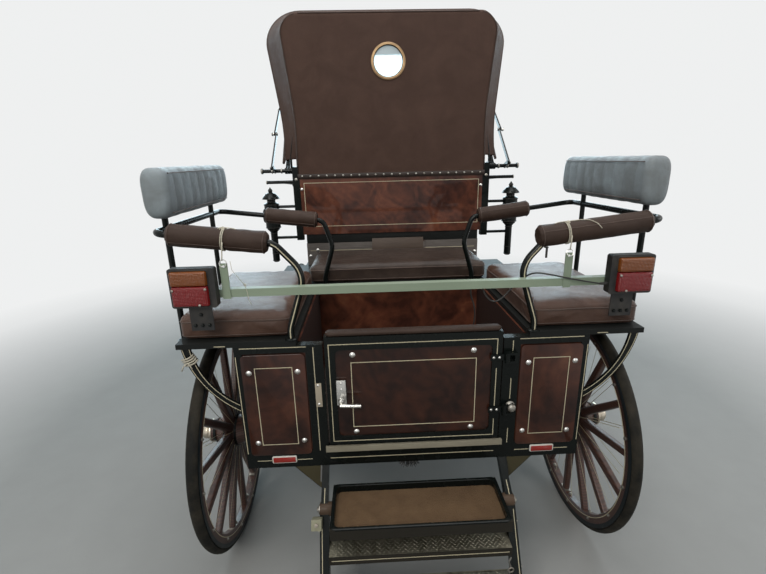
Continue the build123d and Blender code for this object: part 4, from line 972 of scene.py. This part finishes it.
# Hood trims: window ring, seams, welts and the nailed band
WINDOW_RING = ((74.5, 1), (74.5, 4.5), (77, 6.6), (80.5, 6.6), (82, 5), (83.5, 6.2), (86.5, 5.6), (88, 3.5),
               (88, 0.5))
WINDOW_BEAD = ((72.2, -2), (72.2, 3.6), (73.8, 5.4), (76.2, 5.4), (76.5, 3))
for name, profile, finish in (("ring", WINDOW_RING, BRONZE), ("bead", WINDOW_BEAD, BLACK)):
    ring = Shape().lathe(profile, facing(WINDOW, REARWARD), 72, hollow=True)
    ring.make(f"hood_window_{name}", finish, "hood_rear", 50)


def welt(name, points, radius, body):
    """A sewn welt along a line of the cloth."""
    return Shape().sweep(points, radius, 7).make(name, WELT, body, angle=180)


for side, label in SIDES:
    points = [(side * (x - 8), 1084.2, z - max(0, z - 2200) * 0.12) for x, z in curve[:-14]]
    edge = welt(f"hood_edge_welt_{label}", [(side * 504, 1085, 1474), *points], 2.8, None)
    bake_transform(edge)
welt("hood_top_welt", [(x, 1084.4, 2256) for x in range(-450, 451, 30)], 2.8, "hood_rear")
welt("hood_mid_seam", [p + Vector((0, 0, 0.6)) for p in mid_line[2:-2]], 2.4, "hood_mid")
welt("hood_front_hem", front_line, 7.5, "hood_front")
BAND_EDGE = ((1083.6, 1467), (1081.2, 1470), (1080.6, 1480), (1081.2, 1490), (1083.6, 1493))
band = Shape().rings([[(x, y, z) for y, z in BAND_EDGE] for x in range(-508, 509, 8)], closed=False)
band.make("hood_band", BAND, angle=60)
nails = Shape()
for x in range(-484, 485, 44):
    nail = facing((x, 1080.8, 1481), REARWARD)
    nails.lathe([(5.8, 0), (5.6, 1.2), (4.2, 2.8), (1.8, 3.8), (0, 4)], nail, 14)
nails.make("hood_band_nails", OLD_STEEL, angle=80)

# Painted lines
lines = {"carriage": Shape(), "door": Shape()}


def straight_line(points, y=0.0, body="carriage", width=2.6, closed=False):
    lines[body].ribbon([(x, y, z) for x, z in points], REARWARD, width, closed=closed)


def box_line(x0, x1, z0, z1, y, body="carriage"):
    straight_line([(x0, z0), (x1, z0), (x1, z1), (x0, z1)], y, body, closed=True)


straight_line([(284, 911), (284, 971), (-288, 971), (-288, 597), (284, 597), (284, 662)], -6, "door")
straight_line([(284, 714), (284, 861)], -6, "door")
box_line(-215, 215, 650, 900, 0, "door")
box_line(-479, 479, 1208, 1444, 1088)
straight_line([(-470, 1068), (-121, 1068)], 1096)
straight_line([(175, 1068), (470, 1068)], 1096)
straight_line([(-305, 523), (292, 523)])
straight_line([(-340, 557), (-340, 962)])
for low, high in ((555, 616), (736, 817), (922, 960)):
    straight_line([(340, low), (340, high)])
for side in (1, -1):
    box_line(side * 415, side * 541, 591, 892, -1.3)
    straight_line([(side * 363, 965), (side * 584, 966)])
    straight_line([(side * 628, 977), (side * 665, 977)], -0.3)
    straight_line([(side * 598, 555), (side * 600, 936)])
    straight_line([(side * 370, 523), (side * 424, 523)])
    straight_line([(side * 516, 523), (side * 568, 523)])
    for ends in (((776, 971), (711, 820), (606, 726)), ((606, 748), (703, 837), (752, 971))):
        straight_line([(side * x, z) for x, z in arc3(*ends)], 10, width=2.2)
    corners = [(410, 989), (410, 1029), (350, 1215), (440, 1316), (800, 1356.5)]
    route = arc_path([(side * x, 1.9, z) for x, z in corners], (90, 90, 60))
    lines["carriage"].ribbon([p for p in route if abs(p.x) < 452 or p.z < 1250], REARWARD, 3.4, 0.9)
for body, shape in lines.items():
    shape.make(f"painted_lines_{body}", CREAM, body, angle=30)

# Block on the board behind the bench, and a black sheet in the gap between the seat box and the seat, as
# painted shade
Shape().block((-118, 1073, 1026), (172, 1084, 1133), 2).make("board_block", BLOCK_WOOD)
Shape().block((-486, 1097, 1100), (486, 1103, 1166)).make("seat_gap_shade", MATT_BLACK)


def plate(x, z, half_w, half_h, corner, levels, steps=4, ease=0.0):
    """A rounded plate that faces the rear, over (y, inset) levels."""
    rings = []
    for y, inset in levels:
        outline = rounded(half_w - inset, half_h - inset, corner - inset * ease, steps)
        rings.append([(x + u, y, z + v) for u, v in outline])
    return Shape().rings(rings)


# Veneered faces of the quarter panels
for side, label in SIDES:
    face = plate(side * 477.5, 743, 108, 197, 15, ((0.2, 0), (-0.6, 0), (-1.2, 0.8)), 6)
    face.make(f"quarter_face_{label}", BURL_SIDE, angle=30)

# Screws, each turned its own way
heads = {"carriage": Shape(), "door": Shape()}


def screw(x, y, z, radius, body="carriage", turn=0.5):
    """A low domed head; its profile is in shares of its radius."""
    profile = ((1.25, 0), (1.25, 0.14), (1, 0.2), (0.86, 0.46), (0.5, 0.62), (0.1 / radius, 0.66))
    move = facing((x, y, z), REARWARD, (cos(turn), 0, sin(turn)))
    heads[body].lathe([(radius * r, radius * h) for r, h in profile], move, 18)


for k, (x, z) in enumerate(((-209, 929), (205, 930), (-206, 630), (203, 630))):
    screw(x, 0, z, 7.8, "door", k)
for side in (1, -1):
    for k, (x, z) in enumerate(((397, 876), (561, 876), (393, 604), (557, 600))):
        screw(side * x, -1.2, z, 7.6, turn=k * 2)
    for z in (1412, 1225):
        screw(side * 492, 1088, z, 6)
for x, z in ((-470, 1038), (-428, 1072), (474, 1038)):
    screw(x, 1096, z, 7)
for z in (756, 829):
    screw(-252, -10, z, 4.2, "door")
    screw(-331, -3.2, z - 8, 4)
for z in (701, 903):
    for x in (272, 292):
        screw(x, -11, z, 3.8, "door")
for body, shape in heads.items():
    shape.make(f"screw_heads_{body}", STEEL, body, angle=50)

# The door's fittings, its post, and the sill
Shape().block((-342, -3.2, 737), (-320, 0, 828), 1.2).make("striker_plate", BEIGE)
latch = Shape().block((-266, -11.2, 747), (-238, -10, 838), 0.8)
latch.lathe([(11.5, 0), (11.5, 3), (9.5, 6), (8.5, 12), (7, 13.5), (0.1, 14)],
            facing((-254, -10, 762), REARWARD), 28)
latch.sweep([(x, (x + 220) ** 2 / 2000 - 44, 762 - (x + 254) * 0.05) for x in range(-256, -185, 5)], 6.2, 12)
latch.lathe([(0.1, 3), (3.5, 2.2), (4.5, 0), (5.2, -0.5), (5.8, -2)], facing((-252, -11, 805), REARWARD), 20)
latch.make("latch_details", STEEL, "door", angle=45)
KNOB = ((16, 0), (16, 2), (10.5, 4), (8, 9), (11, 13), (14.5, 18), (15, 22), (12, 27), (6, 29.5), (0.1, 30))
Shape().lathe(KNOB, facing((342, 0, 711), REARWARD), 36).make("post_knob", OLD_STEEL, angle=50)
tuft = Shape()
for k in range(90):
    a, out = k * 2.4, (k / 90) ** 0.5
    foot = Vector((-18 + 24 * out * cos(a), 16 + 9 * out * sin(a), 494))
    tip = foot + Vector((16 * out * cos(a), 10 * out * sin(a) - 2, -21 - 5 * sin(k * 1.7)))
    tuft.sweep([foot, foot.lerp(tip, 0.55) - Vector((0, 0, 2)), tip], 1.1, 4)
tuft.make("buffer_bristles", BLACK_RUBBER)
ribs = Shape()
for z in (566, 571, 576):
    ribs.sweep([(-317, -12, z), (317, -12, z)], 1.1)
ribs.make("sill_ribs", SILL)

# Tail lamps: lenses, their screws, gaskets, reflectors and the plates' bolts
LENS_LEVELS = ((-58.4, 0), (-66, 0), (-71.5, 1.5), (-73.6, 4.5), (-74.2, 9))
for side, label in SIDES:
    red = plate(side * 687, 1173.7, 54, 31.7, 5, LENS_LEVELS, ease=0.4)
    amber = plate(side * 687, 1228.5, 54, 22.5, 5, LENS_LEVELS, ease=0.4)
    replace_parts(red.make(f"tail_lens_{label}", RED_LENS, angle=50), "rear_lenses")
    amber.make(f"turn_lens_{label}", AMBER_LENS, angle=50)
    screws = Shape()
    for x, z in ((638, 1197), (736, 1195), (660, 1147)):
        screws.lathe([(4.2, 0), (4, 1.6), (2.6, 2.8), (0.1, 3)], facing((side * x, -73.8, z), REARWARD), 14)
    screws.make(f"lens_screws_{label}", OLD_STEEL, angle=60)
    gasket = [(side * 687 + u, -58.4, 1196.5 + v) for u, v in rounded(56, 56.5, 6, 5)]
    Shape().sweep(gasket, 2.2, 6, True, (0, 1, 0)).make(f"lens_gasket_{label}", BLACK_RUBBER)
    mirror = plate(side * 470, 527, 40, 10.5, 3, ((-0.2, 0), (-5.2, 0), (-6.2, 1.2)))
    mirror.make(f"reflector_{label}", REFLECTOR)
    border = plate(side * 470, 527, 44, 14, 5, ((-0.1, 0), (-3.4, 0), (-4.6, 1.4)))
    border.make(f"reflector_border_{label}", PALE_PLASTIC)
    bolts = Shape()
    for x, z in ((656, 1066), (678, 1066), (700, 1066), (678, 1102)):
        bolts.lathe([(6.5, 0), (6.5, 1.5), (4.8, 1.8), (4.8, 5.5), (3.6, 6.2), (0.1, 6.4)],
                    facing((side * x, -28.4, z), REARWARD), 6)
    bolts.make(f"lamp_plate_bolts_{label}", BLACK, angle=30)

# A knot of pale string round the left-hand stay
knot = Shape()
for k in range(4):
    coil = facing((-763 + 4 * k, 16, 936 - 7 * k), (0.46, 0, -0.89))
    knot.sweep(around(24, lambda t: (21.5 * cos(t), 17.5 * sin(t), 2 * sin(2 * t))), 2.8, 7, True, move=coil)
for lean, drop in ((-0.5, 28), (0.35, 22)):
    ends = ((0, 0, 0), (drop * lean, -4, -0.4 * drop), (drop * lean * 1.6, -3, -drop))
    knot.sweep(ends, 2.4, 7, move=Matrix.Translation((-757, -3, 924)))
knot.make("stay_knot", TWINE, angle=180)

# Step: checkered treads, the tray's rim and mat, gussets, hangers' lines and the clamp
LOZENGE = ((0, 1, 4), (1, 5, 4), (1, 2, 5), (2, 3, 5), (3, 4, 5), (3, 0, 4))
checker, tread_lines = Shape(), Shape()
for rear, front, top in ((-210, -95, 296), (-290, -178, 165)):
    checker.block((-308, rear + 0.5, top), (308, front - 0.5, top + 0.8), 0.4)
    row, y = 0, rear + 9
    while y < front - 6:
        for x in range(-300 + row % 2 * 8, 300, 16):
            lean = 0.7 if (row + (x + 300) // 16) % 2 else -0.7
            along, wide = Vector((cos(lean), sin(lean), 0)) * 6.2, Vector((-sin(lean), cos(lean), 0)) * 1.9
            centre, high = Vector((x, y, top + 0.8)), Vector((0, 0, 1.1))
            ridge = [centre - along * 0.35 + high, centre + along * 0.35 + high]
            checker.add([centre - along, centre - wide, centre + along, centre + wide, *ridge], LOZENGE)
        row, y = row + 1, y + 8.5
    tread_lines.ribbon([(-300, rear - 0.1, top - 17), (300, rear - 0.1, top - 17)], REARWARD, 2.6)
    checker.sweep([(-307, front - 1.2, top + 0.6), (307, front - 1.2, top + 0.6)], 1.4, 6)
checker.make("tread_plates", TREAD, angle=20)
start, end = Vector((0, -100, 392)), Vector((0, -262, 110))
run = (end - start).normalized()
normal = Vector((0, run.z, -run.y))
ends = (start + run * 26 + normal * 18.1, end - run * 4 + normal * 18.1)
for side in (1, -1):
    tread_lines.ribbon([(side * 333, p.y, p.z) for p in ends], normal, 2.4)
    tread_lines.ribbon([(side * 325, -3, 484), (side * 325, -103, 418)], (0, -0.55, 0.83), 2.4)
tread_lines.make("step_lines", CREAM, angle=30)
TRAY_RIM = ((298, 102.5, 16, 418), (298, 102.5, 16, 423.4), (295, 99.5, 14, 425), (289, 94, 19, 425),
            (286, 91, 20, 423.2), (286, 91, 20, 396))
rim = Shape().rings([[(u, -122.5 + v, z) for u, v in rounded(half_w, half_d, corner)]
                     for half_w, half_d, corner, z in TRAY_RIM], ends=False)
rim.make("tray_rim", BLACK, angle=50)
rings = []
for r in range(49):
    y, ring = -212.5 + 180 * r / 48, []
    for c in range(151):
        x = -284 + 568 * c / 150
        tufts = 1.3 * noise.noise(Vector((x * 0.09, y * 0.09, 3)))
        tufts += 0.9 * noise.noise(Vector((x * 0.35, y * 0.35, 9)))
        raised = min(x + 284, 284 - x, y + 212.5, -32.5 - y) > 3
        ring.append((x, y, 394.5 + tufts + 3.0 * raised))
    rings.append(ring)
Shape().rings(rings, closed=False).make("step_mat_pile", MAT, angle=180)
gussets = Shape()
for side in (1, -1):
    for y in (0.8, 6.8):
        gussets.rings([[(side * x, y + dy, z) for x, z in ((338, 492), (434, 492), (354, 404), (338, 388))]
                       for dy in (-0.2, 0.4)])
gussets.make("gusset_faces", OLIVE, angle=30)
clamp_place = Matrix.Translation((-347, -140, 372)) @ Matrix.Rotation(radians(-30), 4, "X")
Shape().block((-19, -30, -18), (16, 14, 17), 2, clamp_place).make("step_clamp", CLAMP)
sleeves, bolts = Shape(), Shape()
for side in (1, -1):
    knuckle = facing((side * 341, -100, 392), (side, 0, 0))
    sleeves.lathe([(22.2, -43), (23.6, -41), (23.6, -3), (22.2, 0)], knuckle, 28, hollow=True)
    for x, radius, steps in ((341, 17, 24), (346, 9.5, 6)):
        bolts.lathe([(radius, -2), (radius, 3), (radius * 0.8, 5.5), (0.1, 6)],
                    facing((side * x, -100, 392), (side, 0, 0)), steps)
    for y, z in ((-134, 333), (-205, 209)):
        bolts.nut(facing((side * 341, y, z), (side, 0, 0)), 8.5, 4.5, 4.5, 4.8, 8, 8.4)
sleeves.make("step_knuckle_sleeves", WORN_BROWN, angle=50)
bolts.lathe([(7, 0), (7, 4), (0.1, 4.5)], clamp_place @ facing((-1, -30, 0), REARWARD), 6)
bolts.sweep(around(20, lambda t: (288 + 9 * cos(t), -262, 262 + 9 * sin(t))), 2.2, 7, True, (0, 1, 0))
bolts.sweep([(288, -262, 271), (288, -240, 271), (300, -225, 271)], 2.5, 7)
bolts.make("step_bolts", OLD_STEEL)

# Wheels: nave bands, hub shells, bolts on the felloes, plates at the felloe joints and painted lines
# axle Y, half track, radius, spokes
WHEELS = {"rear": (299, 746, 460, 14), "front": (1900, 670, 400, 12)}
# from, to, radius at each
NAVE_BANDS = ((-27, -18, 65.4, 65.4), (18, 27, 65.4, 65.2), (-70, -60, 50.3, 51.6), (62, 74, 49.6, 46.8))
HUB_SHELL = ((46.2, 83.5), (47.2, 85), (47.2, 89.8), (46.2, 91.2), (34.2, 97.8), (33.8, 100), (35, 101.5),
             (33.8, 103), (33.8, 116.5), (32.5, 119.5), (26.2, 126.6), (22, 127.2), (21.5, 126.4),
             (18.5, 126.4), (18, 127.6), (0.1, 127.8))
for name in WHEEL_NAMES:
    axle, sign = name.split("_")
    axle_y, track, radius, spokes = WHEELS[axle]
    side = 1 if sign == "right" else -1
    body = f"wheel_{name}"
    place = facing((side * track, axle_y, radius), (side, 0, 0), (0, 1, 0))
    centre, across = place.translation, Vector((side, 0, 0))
    felloe = radius - 66
    bands, lined, iron = Shape(), Shape(), Shape()
    for low, high, r0, r1 in NAVE_BANDS:
        band = [(r0 - 2, low), (r0 + 1.2, low + 0.4), (r1 + 1.2, high - 0.4), (r1 - 2, high)]
        bands.lathe(band, place, 56, hollow=True)
    bands.make(f"nave_bands_{name}", BLACK, body, angle=30)
    Shape().lathe(HUB_SHELL, place, 56).make(f"hub_shell_{name}", NICKEL, body, angle=35)

    def outward(angle):
        return place.to_3x3() @ Vector((cos(angle), sin(angle), 0))

    for n in range(spokes):
        a = tau * n / spokes
        spoke, beside, by_spoke = outward(a), outward(a + pi / 2), outward(a + 0.11)
        for face in (across, -across):
            ends = (centre + spoke * 72 + face * 17.2, centre + spoke * (felloe - 18) + face * 14.4)
            lined.ribbon(ends, face, 2.2, 0.6)
            bolt = facing(centre + spoke * (felloe + 16) + beside * 30 + face * 19, face)
            iron.nut(bolt, 6.8, 2, 4.5, 2.6, 5, 5.6, 10)
        iron.nut(facing(centre + by_spoke * (felloe - 0.2), -by_spoke), 8.5, 3, 5.8, 3.2, 9, 9.6)
    for n in range(spokes // 2):
        rings = []
        for k in range(-3, 4):
            d = outward(tau * (n + 0.25) / (spokes / 2) + k * 0.021)
            edge, wide, thick = centre + d * (felloe - 0.4), across * 12.5, d * 2.6
            rings.append([edge + wide, edge - wide, edge - wide - thick, edge + wide - thick])
        iron.rings(rings)
    iron.make(f"felloe_irons_{name}", OLD_STEEL, body, angle=35)
    for face in (1, -1):
        low, high, near, far = face * 19, face * 19.6, felloe + 9.5, felloe + 11.9
        lined.lathe([(near, low), (far, low), (far, high), (near, high)], place, 96, hollow=True)
    lined.make(f"wheel_lines_{name}", CREAM, body, angle=30)

# Coach lamps: glazed body, bright rims, vent holes and finial
# height, radius, width of each rim
LAMP_RIMS = ((1018, 20.2, 5), (1060, 20, 4), (1176, 20.4, 5), (1196, 34, 4), (1207, 41.5, 6), (1333, 41.5, 6),
             (1346, 23, 5), (1359, 23.4, 4), (1364.5, 48.2, 3.4), (1392, 27, 3))
FINIAL = ((9, 1398), (11.5, 1403), (12.5, 1409), (10, 1415), (5, 1419), (3.5, 1424), (0.1, 1426))
for side, label in SIDES:
    bright, dark, panes = Shape(), Shape(), Shape()
    centre = Vector((side * 668, 1107, 0))
    base = Matrix.Translation(centre)
    for z, r, h in LAMP_RIMS:
        bright.lathe([(r - 2, z - h / 2), (r + 0.4, z - h / 2 + 0.8), (r + 1, z), (r + 0.4, z + h / 2 - 0.8),
                      (r - 2, z + h / 2)], base, 40)
    bright.lathe(FINIAL, base)
    for k in range(12):
        out = Vector(circle(1, 24)[2 * k + 1])
        vent = facing(centre + out * 22.2 + Vector((0, 0, 1353)), out)
        dark.lathe([(3.2, 0), (3.2, 0.6), (0.1, 0.8)], vent, 10)
    for out, r in ((Vector((0, 1, 0)), 34), (Vector((side, 0, 0)), 34), (Vector((0, -1, 0)), 17)):
        face = facing(centre + out * 36.5 + Vector((0, 0, 1272)), out)
        bright.lathe([(r + 1, -6), (r + 4.5, 2), (r + 4, 6.5), (r + 1.5, 8.5), (r - 1, 7.8), (r - 1.2, 4)],
                     face, 40, hollow=True)
        panes.lathe([(r, 4.5), (r * 0.7, 6.2), (r * 0.35, 7.2), (0.1, 7.6)], face, 40)
    bright.make(f"lamp_trim_{label}", LAMP_TRIM)
    dark.make(f"lamp_vents_{label}", BLACK_RUBBER)
    panes.make(f"lamp_panes_{label}", LAMP_GLASS)

# Ties of the light bar: twine round the rolls, knots with short tails that lie on the leather, and rings
# Tails are points as (along the roll, angle from its top round to the rear)
TAILS = (((0, 0), (-12, -0.05), (-27, 0.0), (-41, 0.22)), ((0, 0), (3, -0.15), (12, -0.45), (19, -0.8)))
SHORT_TAIL = ((0, 0), (6, 0.1), (12, 0.35))
LONG_TAIL = ((0, 0), (18, 0.05), (42, 0.1), (66, 0.4), (85, 0.9), (98, 1.4))
STRING = ((-567, -30, 1272), (-566, -26, 1243), (-549, -25, 1217), (-532, -25, 1194), (-527, -25, 1168),
          (-525, -25, 1144), (-517, -25, 1127))
for side, label, x, first_tail in ((-1, "left", -590, SHORT_TAIL), (1, "right", 490, LONG_TAIL)):
    slope = Vector((side * 365, 0, 41)).normalized()
    centre = Vector((x, 13, 1316 + 41 * (abs(x) - 440) / 365))
    move = facing(centre, slope, UPWARD)
    tie = Shape()
    for phase in (0, pi):
        for shift in (-2.42, 2.4):
            strand = []
            for k in range(96):
                t, twist = tau * k / 96, tau * k / 4 + phase
                r = 34.9 + 1.1 * cos(twist)
                strand.append((r * cos(t), r * sin(t), shift + 1.1 * sin(twist)))
            tie.sweep(strand, 1.25, 5, closed=True, move=move)
    for k in range(3):
        knot = around(14, lambda t: (6 * cos(t + k), 5 * sin(t + 2 * k), 3.8 * sin(2 * t + k)))
        tie.sweep(knot, 1.9, 6, closed=True, move=Matrix.Translation(centre + Vector((0, -8, 35))))
    for tail in (first_tail, *TAILS):
        path = []
        for (u0, t0), (u1, t1) in zip(tail, tail[1:]):
            path += [(u0 + (u1 - u0) * k / 6, t0 + (t1 - t0) * k / 6) for k in range(6)]
        path = [centre + slope * u + Vector((0, -36.6 * sin(t), 36.6 * cos(t))) for u, t in (*path, tail[-1])]
        tie.sweep(path, 1.4, 6)
    a, b = centre + Vector((4, -36.6, -3)), Vector((x - 1, -31, 1275))
    tie.sweep([a, a.lerp(b, 0.35) - Vector((0, 1.5, 0)), a.lerp(b, 0.7), b], 1.8, 6)
    if side < 0:
        tie.sweep(STRING, 0.9, 6)
        knot = around(12, lambda t: (-532 + 3.4 * cos(t), -25 + 1.5 * sin(2 * t), 1194 + 3.4 * sin(t)))
        tie.sweep(knot, 1.3, 6, closed=True)
    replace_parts(tie.make(f"bar_tie_{label}", TWINE, angle=180), "bar_ties")
    ring = around(24, lambda t: (x + 10.5 * cos(t), -29 + 3 * sin(t), 1265.5 + 10.5 * sin(t)))
    Shape().sweep(ring, 1.6, 8, True, (0, 1, 0)).make(f"tie_ring_{label}", STEEL)

strap = Shape().rings([[(415 + u, y, 1284 - v) for u, v in rounded(6.5, 2, 1.5, 3)] for y in (-26, -20)])
strap.rings([[(417 + u * 0.9, -24 + v, z) for u, v in rounded(4, 1.2, 1, 3)]
             for z in (1286, 1270, 1258, 1250)])
strap.make("roll_tab", BLACK_RUBBER, angle=50)

# Cable boot and gland
boot = Shape()
for k in range(5):
    boot.lathe([(4.6 - k * 0.35, -1.2), (6.2 - k * 0.5, 0), (4.6 - k * 0.35, 1.2)],
               facing((636 - k * 4, -43.3, 1165), (-1, 0, 0)), 20)
gland = facing((225, 62, 540), UPWARD)
boot.lathe([(11.5, 0), (11.5, 2.2), (8.8, 3.4)], gland, 6)
boot.lathe([(8.8, 3.4), (9.2, 3.6), (9.2, 7.5), (6.2, 9.8), (3, 10.2)], gland, 28)
boot.make("cable_fittings", BLACK_RUBBER, angle=35)

# Hood irons: knuckle pins of the braces, and end caps; flanges of the rails
HEAD_Y, HEAD_Z = PIVOT_Y + 520 * cos(radians(43)), PIVOT_Z + 520 * sin(radians(43))
WASHER = ((10.5, -4), (13.5, -3), (13.5, 3), (10.5, 4))
CAPS = (
    (709, PIVOT_Y, PIVOT_Z, ((15.5, -1), (15.5, 4), (13, 7.5), (6, 9.5), (0.1, 10)), 32),
    (690, PIVOT_Y, 1450, ((10.5, -2), (10.5, 2), (6, 4.5), (0.1, 5)), 28),
    (652, 1100, 1526, ((8, 0), (8, 2), (5, 4.5), (0.1, 5)), 6),
    *((x, PIVOT_Y, PIVOT_Z, WASHER, 32) for x in (604, 640, 655)),
)
for side, label in SIDES:
    outside = (side, 0, 0)
    pin = Shape().lathe([(12, 0), (12, 2), (8.5, 4), (8.5, 7), (10.5, 9), (11, 12), (8, 15.5), (0.1, 16.5)],
                        facing((side * 659, 1318, 1712), outside), 28)
    pin.lathe([(10, 0), (10, 2), (6, 4.5), (0.1, 5)], facing((side * 642, 1318, 1712), (-side, 0, 0)), 28)
    pin.make(f"brace_knuckle_pin_{label}", STEEL, "brace_foot_links", angle=45)
    head = Shape().lathe([(9, 0), (9, 2.5), (5.5, 5), (0.1, 5.4)],
                         facing((side * 661, HEAD_Y, HEAD_Z), outside))
    head.make(f"brace_head_nut_{label}", STEEL, "hood_front", angle=45)
    caps = Shape()
    for x, y, z, profile, steps in CAPS:
        caps.lathe(profile, facing((side * x, y, z), outside), steps)
    for z in (1225, 1465):
        caps.lathe([(8, 0), (8, 3.5), (5, 6), (0.1, 6.4)], facing((side * 519, 1088, z), REARWARD), 20)
    caps.make(f"side_iron_caps_{label}", OLD_STEEL)
    flanges = Shape()
    for y in (110, 545):
        flanges.lathe([(22, 0), (22, 3), (18, 5), (10.5, 6)], facing((side * 805, y, 962), DOWNWARD), 28)
        collar = facing((side * 805, y, 1357 - (y - 13) * 5 / 642), UPWARD)
        flanges.lathe([(12, -6), (14.5, -2), (14.5, 2), (12, 6)], collar, 32)
    for x, y in ((410, 13), (350, 655)):
        flanges.lathe([(21, 0), (21, 3), (17, 6), (11.2, 7.5)], facing((side * x, y, 989.2), UPWARD), 32)
    flanges.make(f"rail_flanges_{label}", BLACK)

# Dash: leather faces with stitched edges over an iron rim
dash_rear = arc3((2330.3, 985), (2354, 1150), (2410, 1330), 24)
dash_front = arc3((2342, 985), (2366, 1146), (2422, 1330), 24)
stile = [((a[0] + b[0]) / 2, (a[1] + b[1]) / 2) for a, b in zip(dash_rear, dash_front)][1:]
route = [(-480, y, z) for y, z in stile] + [(x, *stile[-1]) for x in range(-460, 461, 40)]
route += [(480, y, z) for y, z in reversed(stile)]
Shape().sweep(route, 8.5, 12).make("dash_rim", BLACK, angle=60)
for label, profile, sign in (("rear", dash_rear, -1), ("front", dash_front, 1)):
    rows = []
    for i, (y, z) in enumerate(profile):
        (y0, z0), (y1, z1) = profile[max(0, i - 1)], profile[min(24, i + 1)]
        normal = Vector((0, z1 - z0, y0 - y1)).normalized() * sign
        row = []
        for k in range(61):
            x = -474 + 948 * k / 60
            edge = min(x + 474, 474 - x, (i + 0.2) * 14, (24.2 - i) * 14)
            puff = 1.2 + 2.2 * min(1, edge / 22) + 0.7 * wrinkle((x, 0, z), 90, sign)
            row.append(Vector((x, y, z)) + normal * puff)
        rows.append(row)
    Shape().rings(rows, closed=False).make(f"dash_leather_{label}", DASH_LEATHER, angle=60)
    stitches = Shape()
    for y, z in profile[2:-1]:
        for x in (-455, 455):
            stitches.sweep([(x, y + sign * 4.2, z - 3), (x, y + sign * 4.6, z + 3)], 0.8, 5)
    y, z = profile[-3]
    for x in range(-448, 449, 9):
        stitches.sweep([(x - 2.6, y + sign * 4.4, z), (x + 2.6, y + sign * 4.4, z)], 0.8, 5)
    stitches.make(f"dash_stitches_{label}", TWINE)

# Rubber mats on the driver's boards
mats = Shape()
for y in range(1640, 2060, 14):
    mats.block((-452, y, 891.5), (452, y + 9, 895.5), 1.5)
mats.block((-458, 1632, 890), (458, 2070, 892), 0.8)
run = Vector((0, 226, 112.5)).normalized()
slope = Matrix((Vector((1, 0, 0)), run, Vector((1, 0, 0)).cross(run))).transposed().to_4x4()
place = Matrix.Translation((0, 2092, 893.5)) @ slope
mats.block((-440, 6, 0.5), (440, 246, 2.5), 0.8, place)
for k in range(16):
    mats.block((-434, 12 + k * 14.5, 2.2), (434, 20.5 + k * 14.5, 6), 1.2, place)
mats.make("platform_mats", BLACK_RUBBER)

# Underside and running gear: U-bolts, spring clips, nuts and the edge of the turntable
gear = {"carriage": Shape(), "fore_carriage": Shape()}
# body, spring x, axle y, height of the axle's middle and of the springs' eyes, half length
SPRINGS = (
    ("carriage", 376, 299, 345, 430, 260),
    ("fore_carriage", 400, 1900, 400, 517.5, 310),
)
for body, spring_x, y, axle_z, eye_z, half_length in SPRINGS:
    shape = gear[body]
    for x in (spring_x, -spring_x):
        for dy in (-33, 33):
            legs = [(x + dx, y + dy, axle_z + dz) for dx, dz in ((-30, -34), (-30, 61), (30, 61), (30, -34))]
            shape.sweep(arc_path(legs, (9, 9), 5), 4.5, hint=(0, 1, 0))
            for dx in (-30, 30):
                foot = facing((x + dx, y + dy, axle_z - 27), DOWNWARD)
                shape.lathe([(8.5, 0), (8.5, 7), (0.1, 7.2)], foot, 6)
        shape.block((x - 38, y - 42, axle_z - 27), (x + 38, y + 42, axle_z - 22.2))
        for end in (-1, 1):
            for face in (-1, 1):
                eye = facing((x + face * 22.5, y + end * half_length, eye_z), (face, 0, 0))
                shape.nut(eye, 10.5, 6, 6, 7, 10, 10.4)
for x, y, z in circle(256, 12, 720.4):
    gear["carriage"].nut(facing((x, 1900 + y, z), UPWARD), 9, 5, 5, 6, 9, 9.4)
gear["fore_carriage"].nut(facing((0, 1900, 593), DOWNWARD), 22, 4, 18, 5, 18, 18.5)
for side in (1, -1):
    gear["fore_carriage"].nut(facing((side * 290, 2465, 693), UPWARD), 13, 3, 10, 3.5, 10, 10.4)
for body, shape in gear.items():
    shape.make(f"running_gear_bolts_{body}", OLD_STEEL, body, angle=35)
for side, label in SIDES:
    x, irons = side * 290, Shape()
    for end in (-1, 1):
        cap = facing((x + end * 258, 2465, 665), (end, 0, 0))
        irons.lathe([(13.5, 0), (16.5, 1), (16.5, 18), (13.5, 21), (0.1, 22)], cap)
        hook = around(22, lambda t: (x + end * 270, 2471 + 15 * sin(t), 665 - 13 * cos(t)))[:17]
        irons.sweep(hook, 3.8, hint=(1, 0, 0))
    irons.lathe([(19.6, -21), (20.6, -19), (20.6, 19), (19.6, 21)], facing((x, 2465, 665), (1, 0, 0)), 32)
    irons.make(f"singletree_irons_{label}", OLD_STEEL, f"{label}_singletree")

# Floor
CORNERS = ((-14, -14, 0), (14, -14, 0), (14, 14, 0), (-14, 14, 0))
floor = bpy.data.meshes.new("floor")
floor.from_pydata(CORNERS, [], [(0, 1, 2, 3)])
floor.materials.append(pale_floor())
linked("floor", floor)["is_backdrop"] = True

low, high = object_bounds()
